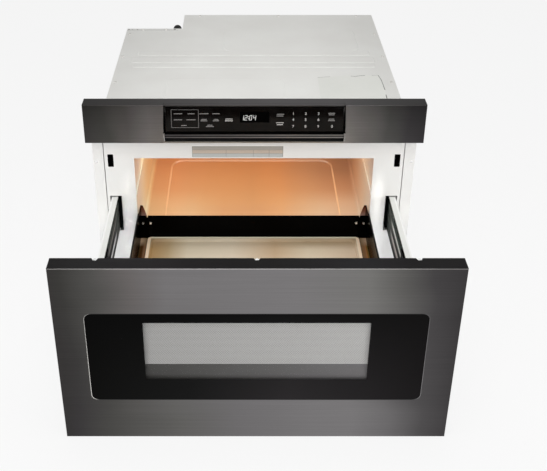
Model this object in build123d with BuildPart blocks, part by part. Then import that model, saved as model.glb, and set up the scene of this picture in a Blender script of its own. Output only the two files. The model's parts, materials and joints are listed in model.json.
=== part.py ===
from build123d import *
from math import cos, pi, radians, sin, tan
import os

# A built-in microwave drawer, drawn with its drawer run out to the end of its travel.
#
# Millimetres. X runs to the right and Y into the cabinet, both as seen from the front, and Z
# runs up. The origin is at the middle of the chassis, where its underside meets the plane of
# the front plate. Every face that moves is placed from where the drawer stands when it is open.

os.makedirs("parts", exist_ok=True)

# Overall sizes
front_overlap = 25.2
door_drop = 12.5
fascia_height = 74.3
fascia_depth = 28.5
panel_gap = 4.0
door_height = 326.2
door_depth = 28.0
travel = 389.0
closing_gap = 0.6

# Chassis
chassis_width = 556.0
chassis_depth = 562.4
chassis_height = 350.5
sheet = 1.0
plate = 1.2
notch_width = 123.0
notch_depth = 90.7
seam = 1.4
flange_reach = 18.5
top_flange = 14.0
flange_hole_r = 2.25
flange_hole_inset = 5.5
flange_hole_low = 91.0
flange_hole_pitch = 174.0

# Cavity
side_space = 57.0
cavity_depth = 420.0
cavity_floor = 84.0
cavity_top = 272.2
cavity_rear_r = 6.5
cavity_floor_r = 5.0
pad_margin = 41.0
pad_front = 40.0
pad_rear = 349.0
pad_r = 30.0
pad_drop = 3.0
pad_slope = 48.0
crease_height = 197.0
crease_width = 6.0
crease_depth = 1.5

# Stirrer, waveguide and magnetron
stirrer_y = 250.0
stirrer_r = 84.0
feed_half = 100.0
cover_margin = 8.0
cover_thickness = 2.0
dome_height = 29.0
duct_half = 46.0
duct_rear = 440.0
shaft_r = 3.0
running_fit = 0.05
microwave_axis = 288.0
magnetron_half = 40.0
magnetron_length = 82.0
antenna_r = 7.5

# Cooling fan
fan_frame = 112.0
fan_bore_r = 52.0
fan_depth = 33.0
fan_r = 49.0
fan_blades = 7

# Power parts
transformer_x = 140.0
transformer_y = 485.0
capacitor_x = 30.0
capacitor_y = 480.0
gland_inset = 13.0
gland_z = 339.5
gland_r = 10.0
gland_bore_r = 4.5
gland_length = 32.0
gland_thread_r = 8.0

# Latches
latch_low = 253.8
latch_high = 280.3
latch_slot_inset = 8.3
latch_slot_width = 10.7
latch_height = 14.0
latch_thickness = 6.0
latch_reach = 27.0
latch_pivot_depth = 8.0
latch_pin_r = 2.5

# Slides: sizes across are measured inwards from the arm's inner face
slot_inset = 9.5
slot_width = 19.5
slot_low = 115.5
slot_high = 191.2
arm_inset = 12.0
arm_gauge = 1.2
arm_low = 117.5
arm_high = 189.7
arm_top_reach = 11.0
arm_low_reach = 9.5
arm_foot = 22.0
arm_foot_margin = 8.0
slide_gauge = 1.4
slide_axis = 153.6
rail_half = 34.0
rail_web = 12.2
rail_lip = 5.2
middle_half = 26.0
middle_web = 9.6
middle_lip = 3.0
runner_half = 17.5
runner_lip = 8.0
slide_length = 460.0
slide_step = 5.0
ball_gap = 0.2
ball_pitch = 15.0
balls_in_row = 10
cage_gauge = 1.0

# Drive
rack_module = 1.5
pinion_teeth = 16
tooth_share = 0.21
rack_pitch_line = 46.5
rack_half = 6.0
rack_back = 56.0
rack_rear = 45.0
pinion_y = 22.0
drive_gap = 0.4
bracket_wall = 2.0

# Fascia and controls
control_half = 160.0
control_gap = 0.8
control_low = 3.0
control_wrap = 7.5
glass_foot_rise = 19.6
glass_head_drop = 3.1
glass_setback = 2.0
glass_lean = 5.0
control_glass_thickness = 2.0
lip_drop = 0.8
lip_height = 9.5
lip_setback = 0.3
bezel_setback = 4.5
bezel_rear = 20.5
display_drop = 10.9
display_height = 20.1
display_half = 26.0

# Door
skin = 1.2
panel_margin = 46.2
panel_foot = 77.9
panel_head = 80.1
panel_r = 11.0
glass_gap = 0.8
glass_thickness = 4.0
glass_recess = 0.4
window_half = 170.0
window_low = 107.0
window_high = 216.0
window_margin = 5.0
choke_inner = 1.0
choke_width = 25.0
screen_gauge = 0.8
frame_gap = 0.4
tab_inset = 66.6
tab_notch = 10.0
tab_notch_foot = 5.0
tab_depth = 5.6
tab_width = 3.0

# Basket
basket_gap = 2.5
basket_top = 154.6
basket_tail = 28.0
basket_sheet = 1.0
rear_wall_y = 4.0
rear_wall_top = 145.6
return_width = 12.0
tail_brow = 3.5
tail_cheek = 9.0
tail_round = 34.0
ledge_width = 13.5
tray_top = 99.5
tray_rim = 9.0
tray_recess = 4.0
tray_floor = 4.0
tray_frame_gauge = 1.5
tray_frame_low = 86.5
ledge_top = 97.5
screw_r = 1.5
screw_head_r = 2.8
screw_fit = 0.1
basket_screw_z = 130.0
basket_screw_insets = (20.0, 6.1)

# Places worked out from the sizes above
SIDES = ((-1, "left"), (1, "right"))
chassis_half = chassis_width / 2
front_half = chassis_half + front_overlap
cavity_half = chassis_half - side_space
pad_half = cavity_half - pad_margin
notch_side = notch_width - chassis_half
gland_x = notch_side - gland_inset
latch_outer = chassis_half - latch_slot_inset
latch_inner = latch_outer - latch_slot_width
slot_outer = chassis_half - slot_inset
slot_inner = slot_outer - slot_width
arm_face = chassis_half - arm_inset
door_bottom = -door_drop
door_top = door_bottom + door_height
fascia_low = door_top + panel_gap
fascia_top = fascia_low + fascia_height
glass_foot = fascia_low + glass_foot_rise
glass_head = fascia_top - glass_head_drop
lip_high = glass_foot - lip_drop
lip_low = lip_high - lip_height
display_high = glass_head - display_drop
display_low = display_high - display_height
panel_half = front_half - panel_margin
panel_low = door_bottom + panel_foot
panel_high = door_top - panel_head
door_back = -(travel + closing_gap)
door_front = door_back - door_depth
notch_front = chassis_depth - notch_depth
cavity_rear = plate + cavity_depth
basket_half = cavity_half - basket_gap
wall_inner = basket_half - basket_sheet
tray_half = wall_inner - ledge_width
basket_screw_places = [wall_inner - inset for inset in basket_screw_insets]
flange_outer = chassis_half + flange_reach
plate_half = chassis_half - sheet - seam


def block(x_span, y_span, z_span, mode=Mode.ADD):
    """A box that fills one span on each axis of the part in hand."""
    spans = [sorted(span) for span in (x_span, y_span, z_span)]
    middle = [(low + high) / 2 for low, high in spans]
    with Locations(tuple(middle)):
        Box(*[high - low for low, high in spans], mode=mode)


def across(side, near, far):
    """The span on X between two distances from the middle, on the given side."""
    return tuple(sorted((side * near, side * far)))


def about(middle, half):
    """The span that reaches the same distance both ways from a middle."""
    return (middle - half, middle + half)


def upright(y):
    """The plane across the object at a depth y: its axes are X and Z."""
    return Plane.XZ.offset(-y)


def rod(place, axis, radius, length, mode=Mode.ADD):
    """A round bar that starts at a place and runs along an axis."""
    with BuildSketch(Plane(origin=place, z_dir=axis)) as disc:
        Circle(radius)
    extrude(disc.sketch, amount=length, mode=mode)


def keep(piece, label):
    """Names a finished piece and writes it to its own file."""
    piece.part.label = label
    export_step(piece.part, f"parts/{label}.step")


# ---------------------------------------------------------------- chassis


def chassis_plan(side_inset, front, rear_inset):
    """The chassis seen from above, with the corner that is cut away for the cord."""
    half = chassis_half - side_inset
    rear = chassis_depth - rear_inset
    notch_x = notch_side + rear_inset
    notch_y = notch_front - rear_inset
    with BuildSketch() as plan:
        with BuildLine():
            Polyline(
                (-half, front),
                (half, front),
                (half, rear),
                (notch_x, rear),
                (notch_x, notch_y),
                (-half, notch_y),
                close=True,
            )
        make_face()
    return plan.sketch


def side_depth(side):
    """Where a side panel ends: the left one stops at the notch."""
    return notch_front if side < 0 else chassis_depth


vent_size = (28.0, 4.0)
vent_pitch = 40.0
vents_in_row = 7
vent_rows = (30.0, 320.0)

cover_screw_inset = 8.0
cover_screw_fit = screw_r + screw_fit
cover_screw_margin = 36.0


def spread(low, high, count):
    """Places spaced evenly along an edge, the first and last a margin from its ends."""
    first = low + cover_screw_margin
    step = (high - low - 2 * cover_screw_margin) / (count - 1)
    return [first + place * step for place in range(count)]


def cover_screw_places():
    """Where the screws of the top cover go, seen from above."""
    edge = chassis_half - cover_screw_inset
    places = [(side * edge, y) for side, _ in SIDES for y in spread(0, notch_front, 4)]
    rear_y = chassis_depth - cover_screw_inset
    places += [(x, rear_y) for x in spread(notch_side, chassis_half, 3)]
    notch_y = notch_front - cover_screw_inset
    places += [(x, notch_y) for x in spread(-chassis_half, notch_side, 2)]
    return places


def cover_screw_holes(top):
    """The holes of the cover screws, cut down through a sheet from its top."""
    with BuildSketch(Plane.XY.offset(top)) as holes:
        with Locations(*cover_screw_places()):
            Circle(cover_screw_fit)
    extrude(holes.sketch, amount=-sheet, mode=Mode.SUBTRACT)


with BuildPart() as base_plate:
    with BuildSketch():
        add(chassis_plan(sheet, plate, sheet))
    extrude(amount=sheet)
keep(base_plate, "base_plate")

for side, word in SIDES:
    depth = side_depth(side)
    wall_top = chassis_height - sheet
    with BuildPart() as side_panel:
        block(across(side, chassis_half - sheet, chassis_half), (0, depth), (0, wall_top))
        block(across(side, chassis_half, flange_outer), (0, sheet), (0, wall_top))
        block(
            across(side, chassis_half - top_flange, chassis_half - sheet),
            (plate, depth - sheet),
            (wall_top - sheet, wall_top),
        )
        with BuildSketch(upright(0)):
            hole_x = side * (flange_outer - flange_hole_inset)
            for hole_z in (flange_hole_low, flange_hole_low + flange_hole_pitch):
                with Locations((hole_x, hole_z)):
                    Circle(flange_hole_r)
        extrude(amount=-sheet, mode=Mode.SUBTRACT)
        for vent_z in vent_rows:
            middle = (side * (chassis_half - sheet / 2), cavity_depth / 2, vent_z)
            with BuildSketch(Plane(origin=middle, x_dir=(0, 1, 0), z_dir=(1, 0, 0))):
                with GridLocations(vent_pitch, 1, vents_in_row, 1):
                    SlotOverall(*vent_size)
            extrude(amount=sheet, both=True, mode=Mode.SUBTRACT)
        cover_screw_holes(wall_top)
    keep(side_panel, f"side_panel_{word}")

grille_slot = (42.0, 4.0)
grille_pitch = (46.0, 8.0)
grille_rows = 11
rear_vent_rows = 5

with BuildPart() as rear_panel:
    with BuildSketch(Plane.XY.offset(sheet)):
        add(chassis_plan(sheet, plate, 0))
        add(chassis_plan(sheet, plate, sheet), mode=Mode.SUBTRACT)
    extrude(amount=chassis_height - 2 * sheet)
    wall_top = chassis_height - sheet
    block(
        (notch_side + sheet, chassis_half - top_flange - sheet),
        (chassis_depth - sheet - top_flange, chassis_depth - sheet),
        (wall_top - sheet, wall_top),
    )
    block(
        (top_flange + sheet - chassis_half, notch_side + sheet),
        (notch_front - sheet - top_flange, notch_front - sheet),
        (wall_top - sheet, wall_top),
    )
    cover_screw_holes(wall_top)
    with BuildSketch(upright(chassis_depth)):
        with Locations((0, microwave_axis)):
            with GridLocations(*grille_pitch, 2, grille_rows):
                SlotOverall(*grille_slot)
        with Locations((transformer_x, microwave_axis / 3)):
            with GridLocations(*grille_pitch, 2, rear_vent_rows):
                SlotOverall(*grille_slot)
    extrude(amount=sheet, mode=Mode.SUBTRACT)
    rod((gland_x, notch_front, gland_z), (0, -1, 0), gland_thread_r + screw_fit, sheet, Mode.SUBTRACT)
keep(rear_panel, "rear_panel")

with BuildPart() as top_cover:
    with BuildSketch(Plane.XY.offset(chassis_height - sheet)):
        add(chassis_plan(0, plate, 0))
    extrude(amount=sheet)
    cover_screw_holes(chassis_height)
keep(top_cover, "top_cover")

screw_head = 2.0
screw_length = 5.0
screw_slot = 0.9


def screw(place, towards, length=screw_length):
    """A pan-headed screw: its head stands on a face and its shank goes the other way."""
    seat = Plane(origin=place, z_dir=towards)
    with BuildSketch(seat) as head:
        Circle(screw_head_r)
    extrude(head.sketch, amount=screw_head, taper=12)
    with BuildSketch(seat) as shank:
        Circle(screw_r)
    extrude(shank.sketch, amount=-length)
    with BuildSketch(seat.offset(screw_head)) as recess:
        Rectangle(screw_head_r, screw_slot)
        Rectangle(screw_slot, screw_head_r)
    extrude(recess.sketch, amount=-screw_head / 2, mode=Mode.SUBTRACT)


with BuildPart() as cover_screws:
    for x, y in cover_screw_places():
        screw((x, y, chassis_height), (0, 0, 1))
keep(cover_screws, "cover_screws")

rack_slot_half = rack_half + 4.0
rack_slot_low = rack_pitch_line - 5.0
rack_slot_high = rack_back + 4.0

with BuildPart() as front_plate:
    block((-plate_half, plate_half), (0, plate), (0, chassis_height))
    block((-cavity_half, cavity_half), (0, plate), (cavity_floor, cavity_top), Mode.SUBTRACT)
    for side, _ in SIDES:
        block(across(side, latch_inner, latch_outer), (0, plate), (latch_low, latch_high), Mode.SUBTRACT)
        block(across(side, slot_inner, slot_outer), (0, plate), (slot_low, slot_high), Mode.SUBTRACT)
    block(
        (-rack_slot_half, rack_slot_half), (0, plate), (rack_slot_low, rack_slot_high), Mode.SUBTRACT
    )
    slot_edges = front_plate.edges().filter_by(Axis.Y).filter_by(
        lambda edge: abs(edge.center().X) < plate_half - 1
    )
    fillet(slot_edges, radius=1.2)
keep(front_plate, "front_plate")

# ---------------------------------------------------------------- cavity

lamp_y = 325.0
lamp_z = 240.0
lamp_box = (28.0, 46.0, 34.0)
lamp_hole_r = 1.6
lamp_hole_pitch = 6.0

with BuildPart() as cavity:
    shell = sheet
    block(
        (-cavity_half - shell, cavity_half + shell),
        (plate, cavity_rear + shell),
        (cavity_floor - shell, cavity_top + shell),
    )
    rear_edges = cavity.edges().filter_by(Axis.Z).group_by(Axis.Y)[-1]
    fillet(rear_edges, radius=cavity_rear_r + shell)
    low_edges = cavity.faces().sort_by(Axis.Z)[0].edges().filter_by(
        lambda edge: edge.center().Y > plate + 1
    )
    fillet(low_edges, radius=cavity_floor_r + shell)
    offset(amount=-shell, openings=cavity.faces().sort_by(Axis.Y)[0])
    pad_centre = (0, (pad_front + pad_rear) / 2)
    pad_depth = pad_rear - pad_front
    with BuildSketch(Plane.XY.offset(cavity_floor - shell)):
        with Locations(pad_centre):
            RectangleRounded(2 * (pad_half + shell), pad_depth + 2 * shell, pad_r + shell)
    extrude(amount=-pad_drop)
    with BuildSketch(Plane.XY.offset(cavity_floor)):
        with Locations(pad_centre):
            RectangleRounded(2 * pad_half, pad_depth, pad_r)
    extrude(amount=-pad_drop, taper=pad_slope, mode=Mode.SUBTRACT)
    for side, _ in SIDES:
        block(
            across(side, cavity_half - crease_depth, cavity_half),
            (plate, cavity_rear - cavity_rear_r),
            about(crease_height, crease_width / 2),
        )
    block(
        (-feed_half, feed_half),
        about(stirrer_y, feed_half),
        (cavity_top, cavity_top + shell),
        Mode.SUBTRACT,
    )
    lamp_wall = Plane(origin=(cavity_half, lamp_y, lamp_z), x_dir=(0, 1, 0), z_dir=(1, 0, 0))
    with BuildSketch(lamp_wall):
        with GridLocations(lamp_hole_pitch, lamp_hole_pitch, 5, 4):
            Circle(lamp_hole_r)
    extrude(amount=shell, mode=Mode.SUBTRACT)
keep(cavity, "cavity")

with BuildPart() as oven_lamp:
    wall_x = cavity_half + sheet
    depth, width, height = lamp_box
    lamp_wall_gauge = 1.5
    block((wall_x, wall_x + depth), about(lamp_y, width / 2), about(lamp_z, height / 2))
    block(
        (wall_x, wall_x + depth - lamp_wall_gauge),
        about(lamp_y, width / 2 - lamp_wall_gauge),
        about(lamp_z, height / 2 - lamp_wall_gauge),
        Mode.SUBTRACT,
    )
    bulb_r = 8.0
    rod((wall_x + depth - lamp_wall_gauge, lamp_y, lamp_z), (-1, 0, 0), bulb_r, depth / 2)
    fillet(oven_lamp.faces().filter_by(GeomType.PLANE).sort_by(
        lambda face: abs(face.center().X - wall_x - depth / 2 + lamp_wall_gauge)
    )[0].edges(), radius=bulb_r / 2)
    rod((wall_x + depth, lamp_y, lamp_z), (1, 0, 0), bulb_r, lamp_wall_gauge * 4)
keep(oven_lamp, "oven_lamp")

with BuildPart() as stirrer_cover:
    cover_half = feed_half + cover_margin
    block(
        (-cover_half, cover_half),
        about(stirrer_y, cover_half),
        (cavity_top - cover_thickness, cavity_top),
    )
    fillet(stirrer_cover.edges().filter_by(Axis.Z), radius=cover_margin)
    chamfer(stirrer_cover.faces().sort_by(Axis.Z)[0].edges(), length=cover_thickness / 2)
keep(stirrer_cover, "stirrer_cover")

feed_roof = cavity_top + sheet + dome_height

with BuildPart() as waveguide:
    dome_half = feed_half + cover_margin
    roof = (cavity_top + sheet, feed_roof)
    block((-dome_half, dome_half), about(stirrer_y, dome_half), roof)
    block((-duct_half, duct_half), (stirrer_y, duct_rear), roof)
    inner = (cavity_top + sheet, feed_roof - sheet)
    block(
        (sheet - dome_half, dome_half - sheet),
        about(stirrer_y, dome_half - sheet),
        inner,
        Mode.SUBTRACT,
    )
    block(
        (sheet - duct_half, duct_half - sheet),
        (stirrer_y, duct_rear - sheet),
        (cavity_top + 2 * sheet, feed_roof - sheet),
        Mode.SUBTRACT,
    )
    rod((0, duct_rear, microwave_axis), (0, -1, 0), antenna_r + 2, sheet, Mode.SUBTRACT)
    rod((0, stirrer_y, feed_roof), (0, 0, -1), shaft_r + 1, sheet, Mode.SUBTRACT)
keep(waveguide, "waveguide")

stirrer_low = cavity_top + 6.0
stirrer_hub_r = 9.0
stirrer_hub_height = 12.0
stirrer_blades = 3
stirrer_blade_width = 34.0
stirrer_blade_gauge = 1.0
stirrer_blade_tilt = 14
stirrer_shaft_top = feed_roof + 11.0

with BuildPart() as stirrer:
    rod((0, stirrer_y, stirrer_low), (0, 0, 1), stirrer_hub_r, stirrer_hub_height)
    rod((0, stirrer_y, stirrer_low), (0, 0, 1), shaft_r, stirrer_shaft_top - stirrer_low)
    blade_length = stirrer_r - stirrer_hub_r + 2
    blade_middle = stirrer_low + stirrer_hub_height / 2
    with Locations((0, stirrer_y, blade_middle)):
        with PolarLocations((stirrer_r + stirrer_hub_r) / 2 - 1, stirrer_blades):
            Box(
                blade_length,
                stirrer_blade_width,
                stirrer_blade_gauge,
                rotation=(stirrer_blade_tilt, 0, 0),
            )
keep(stirrer, "stirrer")

with BuildPart() as stirrer_motor:
    motor_r = 24.0
    motor_height = 19.0
    motor_bore = 14.0
    ear_half = 33.0
    ear_width = 14.0
    ear_height = 1.5
    with BuildSketch(Plane.XY.offset(feed_roof)):
        with Locations((0, stirrer_y)):
            SlotOverall(2 * ear_half, ear_width)
            Circle(motor_r)
    extrude(amount=ear_height)
    rod((0, stirrer_y, feed_roof), (0, 0, 1), motor_r, motor_height)
    fillet(stirrer_motor.faces().sort_by(Axis.Z)[-1].edges(), radius=2)
    rod((0, stirrer_y, feed_roof), (0, 0, 1), shaft_r + running_fit, motor_bore, Mode.SUBTRACT)
keep(stirrer_motor, "stirrer_motor")

# ---------------------------------------------------------------- power parts

with BuildPart() as magnetron:
    front = duct_rear
    rear = duct_rear + magnetron_length
    core_r = 19.0
    yoke = 1.5
    fin = 0.8
    fin_pitch = 6.0
    fins = 8
    fin_start = 9.0
    fin_margin = 6.0
    flange_margin = 8.0
    filter_box = (30.0, 19.0, 26.0)
    antenna_length = 16.0
    yoke_rear = rear - filter_box[1]
    tall = about(microwave_axis, magnetron_half)
    wide = about(0, magnetron_half + flange_margin)
    block(wide, (front, front + yoke), tall)
    for side, _ in SIDES:
        block(across(side, magnetron_half, magnetron_half + yoke), (front, yoke_rear), tall)
    block((-magnetron_half, magnetron_half), (yoke_rear - yoke, yoke_rear), tall)
    for step in range(fins):
        fin_y = front + fin_start + step * fin_pitch
        fin_tall = about(microwave_axis, magnetron_half - fin_margin)
        block((-magnetron_half, magnetron_half), (fin_y, fin_y + fin), fin_tall)
    rod((0, front, microwave_axis), (0, 1, 0), core_r, yoke_rear - front)
    block(about(0, filter_box[0]), (yoke_rear, rear), about(microwave_axis, filter_box[2]))
    rod((0, front, microwave_axis), (0, -1, 0), antenna_r, antenna_length)
keep(magnetron, "magnetron")

fan_rear = chassis_depth - sheet
fan_front = fan_rear - fan_depth
strut = 2.5
strut_width = 7.0
fan_corner_r = 6.0
fan_motor_r = 20.0
fan_motor_depth = 15.0
fan_motor_bore = 10.0
fan_shaft_r = 2.0
fan_shaft_length = 9.0

with BuildPart() as fan_housing:
    block(about(0, fan_frame / 2), (fan_front, fan_rear), about(microwave_axis, fan_frame / 2))
    fillet(fan_housing.edges().filter_by(Axis.Y), radius=fan_corner_r)
    rod((0, fan_front, microwave_axis), (0, 1, 0), fan_bore_r, fan_depth, Mode.SUBTRACT)
    with BuildSketch(upright(fan_front)):
        with Locations((0, microwave_axis)):
            Circle(fan_motor_r + 2)
            with PolarLocations((fan_bore_r + fan_motor_r) / 2, 3, start_angle=30):
                Rectangle(fan_bore_r - fan_motor_r + 2, strut_width)
    extrude(amount=-strut)
keep(fan_housing, "fan_housing")

fan_motor_front = fan_front + strut

with BuildPart() as fan_motor:
    rod((0, fan_motor_front, microwave_axis), (0, 1, 0), fan_motor_r, fan_motor_depth)
    fillet(fan_motor.faces().sort_by(Axis.Y)[-1].edges(), radius=2)
    motor_rear = fan_motor_front + fan_motor_depth
    rod((0, motor_rear, microwave_axis), (0, -1, 0), fan_shaft_r + running_fit, fan_motor_bore, Mode.SUBTRACT)
keep(fan_motor, "fan_motor")

with BuildPart() as fan_blade:
    hub_front = fan_motor_front + fan_motor_depth + 1.0
    hub_depth = 11.0
    hub_r = fan_motor_r - 2.0
    blade_gauge = 1.5
    blade_width = 20.0
    blade_tilt = 28
    blade_middle = hub_front + hub_depth / 2
    rod((0, hub_front, microwave_axis), (0, 1, 0), hub_r, hub_depth)
    rod((0, hub_front, microwave_axis), (0, -1, 0), fan_shaft_r, fan_shaft_length)
    for step in range(fan_blades):
        turn = step * 360 / fan_blades
        reach = (fan_r + hub_r) / 2 - 1
        centre = (reach * cos(radians(turn)), blade_middle, microwave_axis + reach * sin(radians(turn)))
        with Locations(Location(centre, (0, -turn, 0))):
            Box(fan_r - hub_r + 1, blade_gauge, blade_width, rotation=(blade_tilt, 0, 0))
keep(fan_blade, "fan_blade")

core_size = (96.0, 60.0, 80.0)
core_foot = (9.0, 3.0, 2.0)
core_low = sheet + core_foot[2]
winding_reach = 18.0
winding_inset = 9.0

with BuildPart() as transformer:
    length, width, height = core_size
    block(
        about(transformer_x, length / 2 + core_foot[0]),
        about(transformer_y, width / 2 + core_foot[1]),
        (sheet, core_low),
    )
    block(
        about(transformer_x, length / 2),
        about(transformer_y, width / 2),
        (core_low, core_low + height),
    )
    with BuildPart(mode=Mode.PRIVATE) as winding:
        block(
            about(transformer_x, length / 3),
            about(transformer_y, width / 2 + winding_reach),
            (core_low + winding_inset, core_low + height - winding_inset),
        )
        fillet(winding.edges().filter_by(Axis.X), radius=winding_inset)
    add(winding.part)
keep(transformer, "transformer")

capacitor_size = (55.0, 33.0)
capacitor_height = 95.0
terminal_pitch = 24.0
terminal_size = (6.3, 0.8, 10.0)
terminal_sunk = 1.0

with BuildPart() as capacitor:
    with BuildSketch(Plane.XY.offset(sheet)):
        with Locations((capacitor_x, capacitor_y)):
            SlotOverall(*capacitor_size)
    extrude(amount=capacitor_height)
    fillet(capacitor.faces().sort_by(Axis.Z)[-1].edges(), radius=2)
    can_top = sheet + capacitor_height
    terminal_z = can_top + terminal_size[2] / 2 - terminal_sunk
    with Locations((capacitor_x, capacitor_y, terminal_z)):
        with GridLocations(terminal_pitch, 1, 2, 1):
            Box(*terminal_size)
keep(capacitor, "capacitor")

board_size = (88.0, 1.6, 86.0)
board_centre = ((notch_side - chassis_half) / 2, 285.0)
board_standoff = 7.0
board_peg = (6.0, 12.0)
filter_coil = (-20.0, 16.0, 16.0, 14.0)
filter_parts = (
    (24.0, 18.0, 13.0, 12.0, 14.0),
    (-18.0, -24.0, 12.0, 9.0, 11.0),
    (20.0, -22.0, 8.0, 11.0, 16.0),
)

with BuildPart() as noise_filter:
    length, gauge, height = board_size
    centre_x, centre_z = board_centre
    board_rear = notch_front - sheet - board_standoff
    board_front = board_rear - gauge
    block(about(centre_x, length / 2), (board_front, board_rear), about(centre_z, height / 2))
    with Locations((centre_x, board_rear + board_standoff / 2, centre_z)):
        peg, peg_margin = board_peg
        with GridLocations(length - peg_margin, 1, 2, 1):
            Box(peg, board_standoff, height - peg_margin)
    coil_x, coil_z, coil_r, coil_depth = filter_coil
    rod((centre_x + coil_x, board_front, centre_z + coil_z), (0, -1, 0), coil_r, coil_depth)
    for part_x, part_z, half_width, half_height, depth in filter_parts:
        block(
            about(centre_x + part_x, half_width),
            (board_front - depth, board_front),
            about(centre_z + part_z, half_height),
        )
keep(noise_filter, "noise_filter")

with BuildPart() as cord_gland:
    rim = 7.0
    thread = 8.0
    barrel_step = 0.8
    barrel_dome = 3.5
    nut_step = 0.5
    nut = 4.5
    rod((gland_x, notch_front, gland_z), (0, 1, 0), gland_r, rim)
    rod((gland_x, notch_front + rim, gland_z), (0, 1, 0), gland_r - barrel_step, gland_length - rim)
    fillet(cord_gland.faces().sort_by(Axis.Y)[-1].edges(), radius=barrel_dome)
    rod((gland_x, notch_front, gland_z), (0, -1, 0), gland_thread_r, thread)
    with BuildSketch(upright(notch_front - sheet)):
        with Locations((gland_x, gland_z)):
            RegularPolygon(gland_r - nut_step, 6)
    extrude(amount=nut)
    rod(
        (gland_x, notch_front + gland_length, gland_z),
        (0, -1, 0),
        gland_bore_r,
        gland_length + thread,
        Mode.SUBTRACT,
    )
keep(cord_gland, "cord_gland")

# ---------------------------------------------------------------- latches on the chassis

housing_wall = 2.5
housing_depth = 41.0
housing_side_room = (0.5, 0.8)
housing_room = 2.8
switch_size = (10.3, 27.8, 15.9)
switch_setback = 6.0
switch_gap = 0.5
switch_spacing = 1.0
lever_span = (10.0, 30.0)
lever_gauge = 1.2

with BuildPart() as interlock_switches:
    for side, _ in SIDES:
        thick, long, tall = switch_size
        outer = latch_inner - housing_wall - switch_gap
        middle_z = (latch_low + latch_high) / 2
        for step in (-1, 1):
            z = middle_z + step * (tall / 2 + switch_spacing)
            switch_front = plate + switch_setback
            block(
                across(side, outer - thick, outer),
                (switch_front, switch_front + long),
                about(z, tall / 2),
            )
            lever_x = across(side, outer - thick * 0.7, outer - thick * 0.3)
            lever_z = (z + step * tall / 2, z + step * (tall / 2 + lever_gauge))
            block(lever_x, (plate + lever_span[0], plate + lever_span[1]), lever_z)
keep(interlock_switches, "interlock_switches")

for side, word in SIDES:
    with BuildPart() as latch_housing:
        room_in, room_out = housing_side_room
        inner_x = (latch_inner - room_in, latch_outer + room_out)
        inner_z = (latch_low - housing_room, latch_high + housing_room)
        block(
            across(side, inner_x[0] - housing_wall + room_in, inner_x[1] + housing_wall),
            (plate, plate + housing_depth),
            (inner_z[0] - housing_wall, inner_z[1] + housing_wall),
        )
        fillet(latch_housing.edges().filter_by(Axis.Y), radius=2)
        block(
            across(side, *inner_x),
            (plate, plate + housing_depth - housing_wall),
            inner_z,
            Mode.SUBTRACT,
        )
    keep(latch_housing, f"latch_housing_{word}")

# ---------------------------------------------------------------- slides


def channel(side, web_span, lip, half_height, y_span, gauge=slide_gauge):
    """A C-shaped slide member: its web and its two flanges, which reach to the lip."""
    far = max(*web_span, lip)
    near = min(*web_span, lip)
    web = across(side, arm_face - web_span[0], arm_face - web_span[1])
    flange = across(side, arm_face - near, arm_face - far)
    block(web, y_span, about(slide_axis, half_height))
    for up in (-1, 1):
        inner = slide_axis + up * (half_height - gauge)
        outer = slide_axis + up * half_height
        block(flange, y_span, (inner, outer))


def ball_row(side, across_place, height, radius, front):
    """One row of balls in its strip, which keeps them a pitch apart."""
    x = side * (arm_face - across_place)
    length = ball_pitch * balls_in_row
    with Locations(*[(x, front + (step + 0.5) * ball_pitch, height) for step in range(balls_in_row)]):
        Sphere(radius)
    block(about(x, cage_gauge / 2), (front, front + length), about(height, radius * 0.7))


rail_front = plate + 1.8
rail_span = (rail_front, rail_front + slide_length)
middle_length = slide_length - 4 * slide_step
middle_closed = rail_front + slide_step
middle_open = middle_closed - travel / 2
runner_length = slide_length - 2 * slide_step
runner_closed = rail_front
runner_open = runner_closed - travel
outer_ball_r = (rail_half - slide_gauge - middle_half) / 2 - ball_gap
inner_ball_r = (middle_half - slide_gauge - runner_half) / 2 - ball_gap
outer_ball_z = (rail_half - slide_gauge + middle_half) / 2
inner_ball_z = (middle_half - slide_gauge + runner_half) / 2
outer_ball_x = (rail_lip + middle_web + slide_gauge) / 2
inner_ball_x = (runner_lip + middle_lip) / 2
cage_length = ball_pitch * balls_in_row
outer_cage_open = (rail_front + middle_open + middle_length - cage_length) / 2
inner_cage_open = (middle_open + runner_open + runner_length - cage_length) / 2

bracket_gauge = 1.5
bracket_width = 34.0
bracket_height = 44.0
bracket_ys = (rail_front + 30.0, cavity_rear - cavity_rear_r - bracket_width)
groove_depth = 0.6
groove_near = 6.0
groove_far = 16.0

with BuildPart() as slide_brackets:
    for side, _ in SIDES:
        near = cavity_half + sheet
        far = arm_face - rail_web - slide_gauge
        for y in bracket_ys:
            block(across(side, near, far), (y, y + bracket_width), about(slide_axis, bracket_height / 2))
            block(
                across(side, near + bracket_gauge, far - bracket_gauge),
                (y, y + bracket_width),
                about(slide_axis, bracket_height / 2 - bracket_gauge),
                Mode.SUBTRACT,
            )
keep(slide_brackets, "slide_brackets")

with BuildPart() as outer_ball_cages:
    for side, _ in SIDES:
        for up in (-1, 1):
            ball_row(side, outer_ball_x, slide_axis + up * outer_ball_z, outer_ball_r, outer_cage_open)
keep(outer_ball_cages, "outer_ball_cages")

with BuildPart() as inner_ball_cages:
    for side, _ in SIDES:
        for up in (-1, 1):
            ball_row(side, inner_ball_x, slide_axis + up * inner_ball_z, inner_ball_r, inner_cage_open)
keep(inner_ball_cages, "inner_ball_cages")

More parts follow.
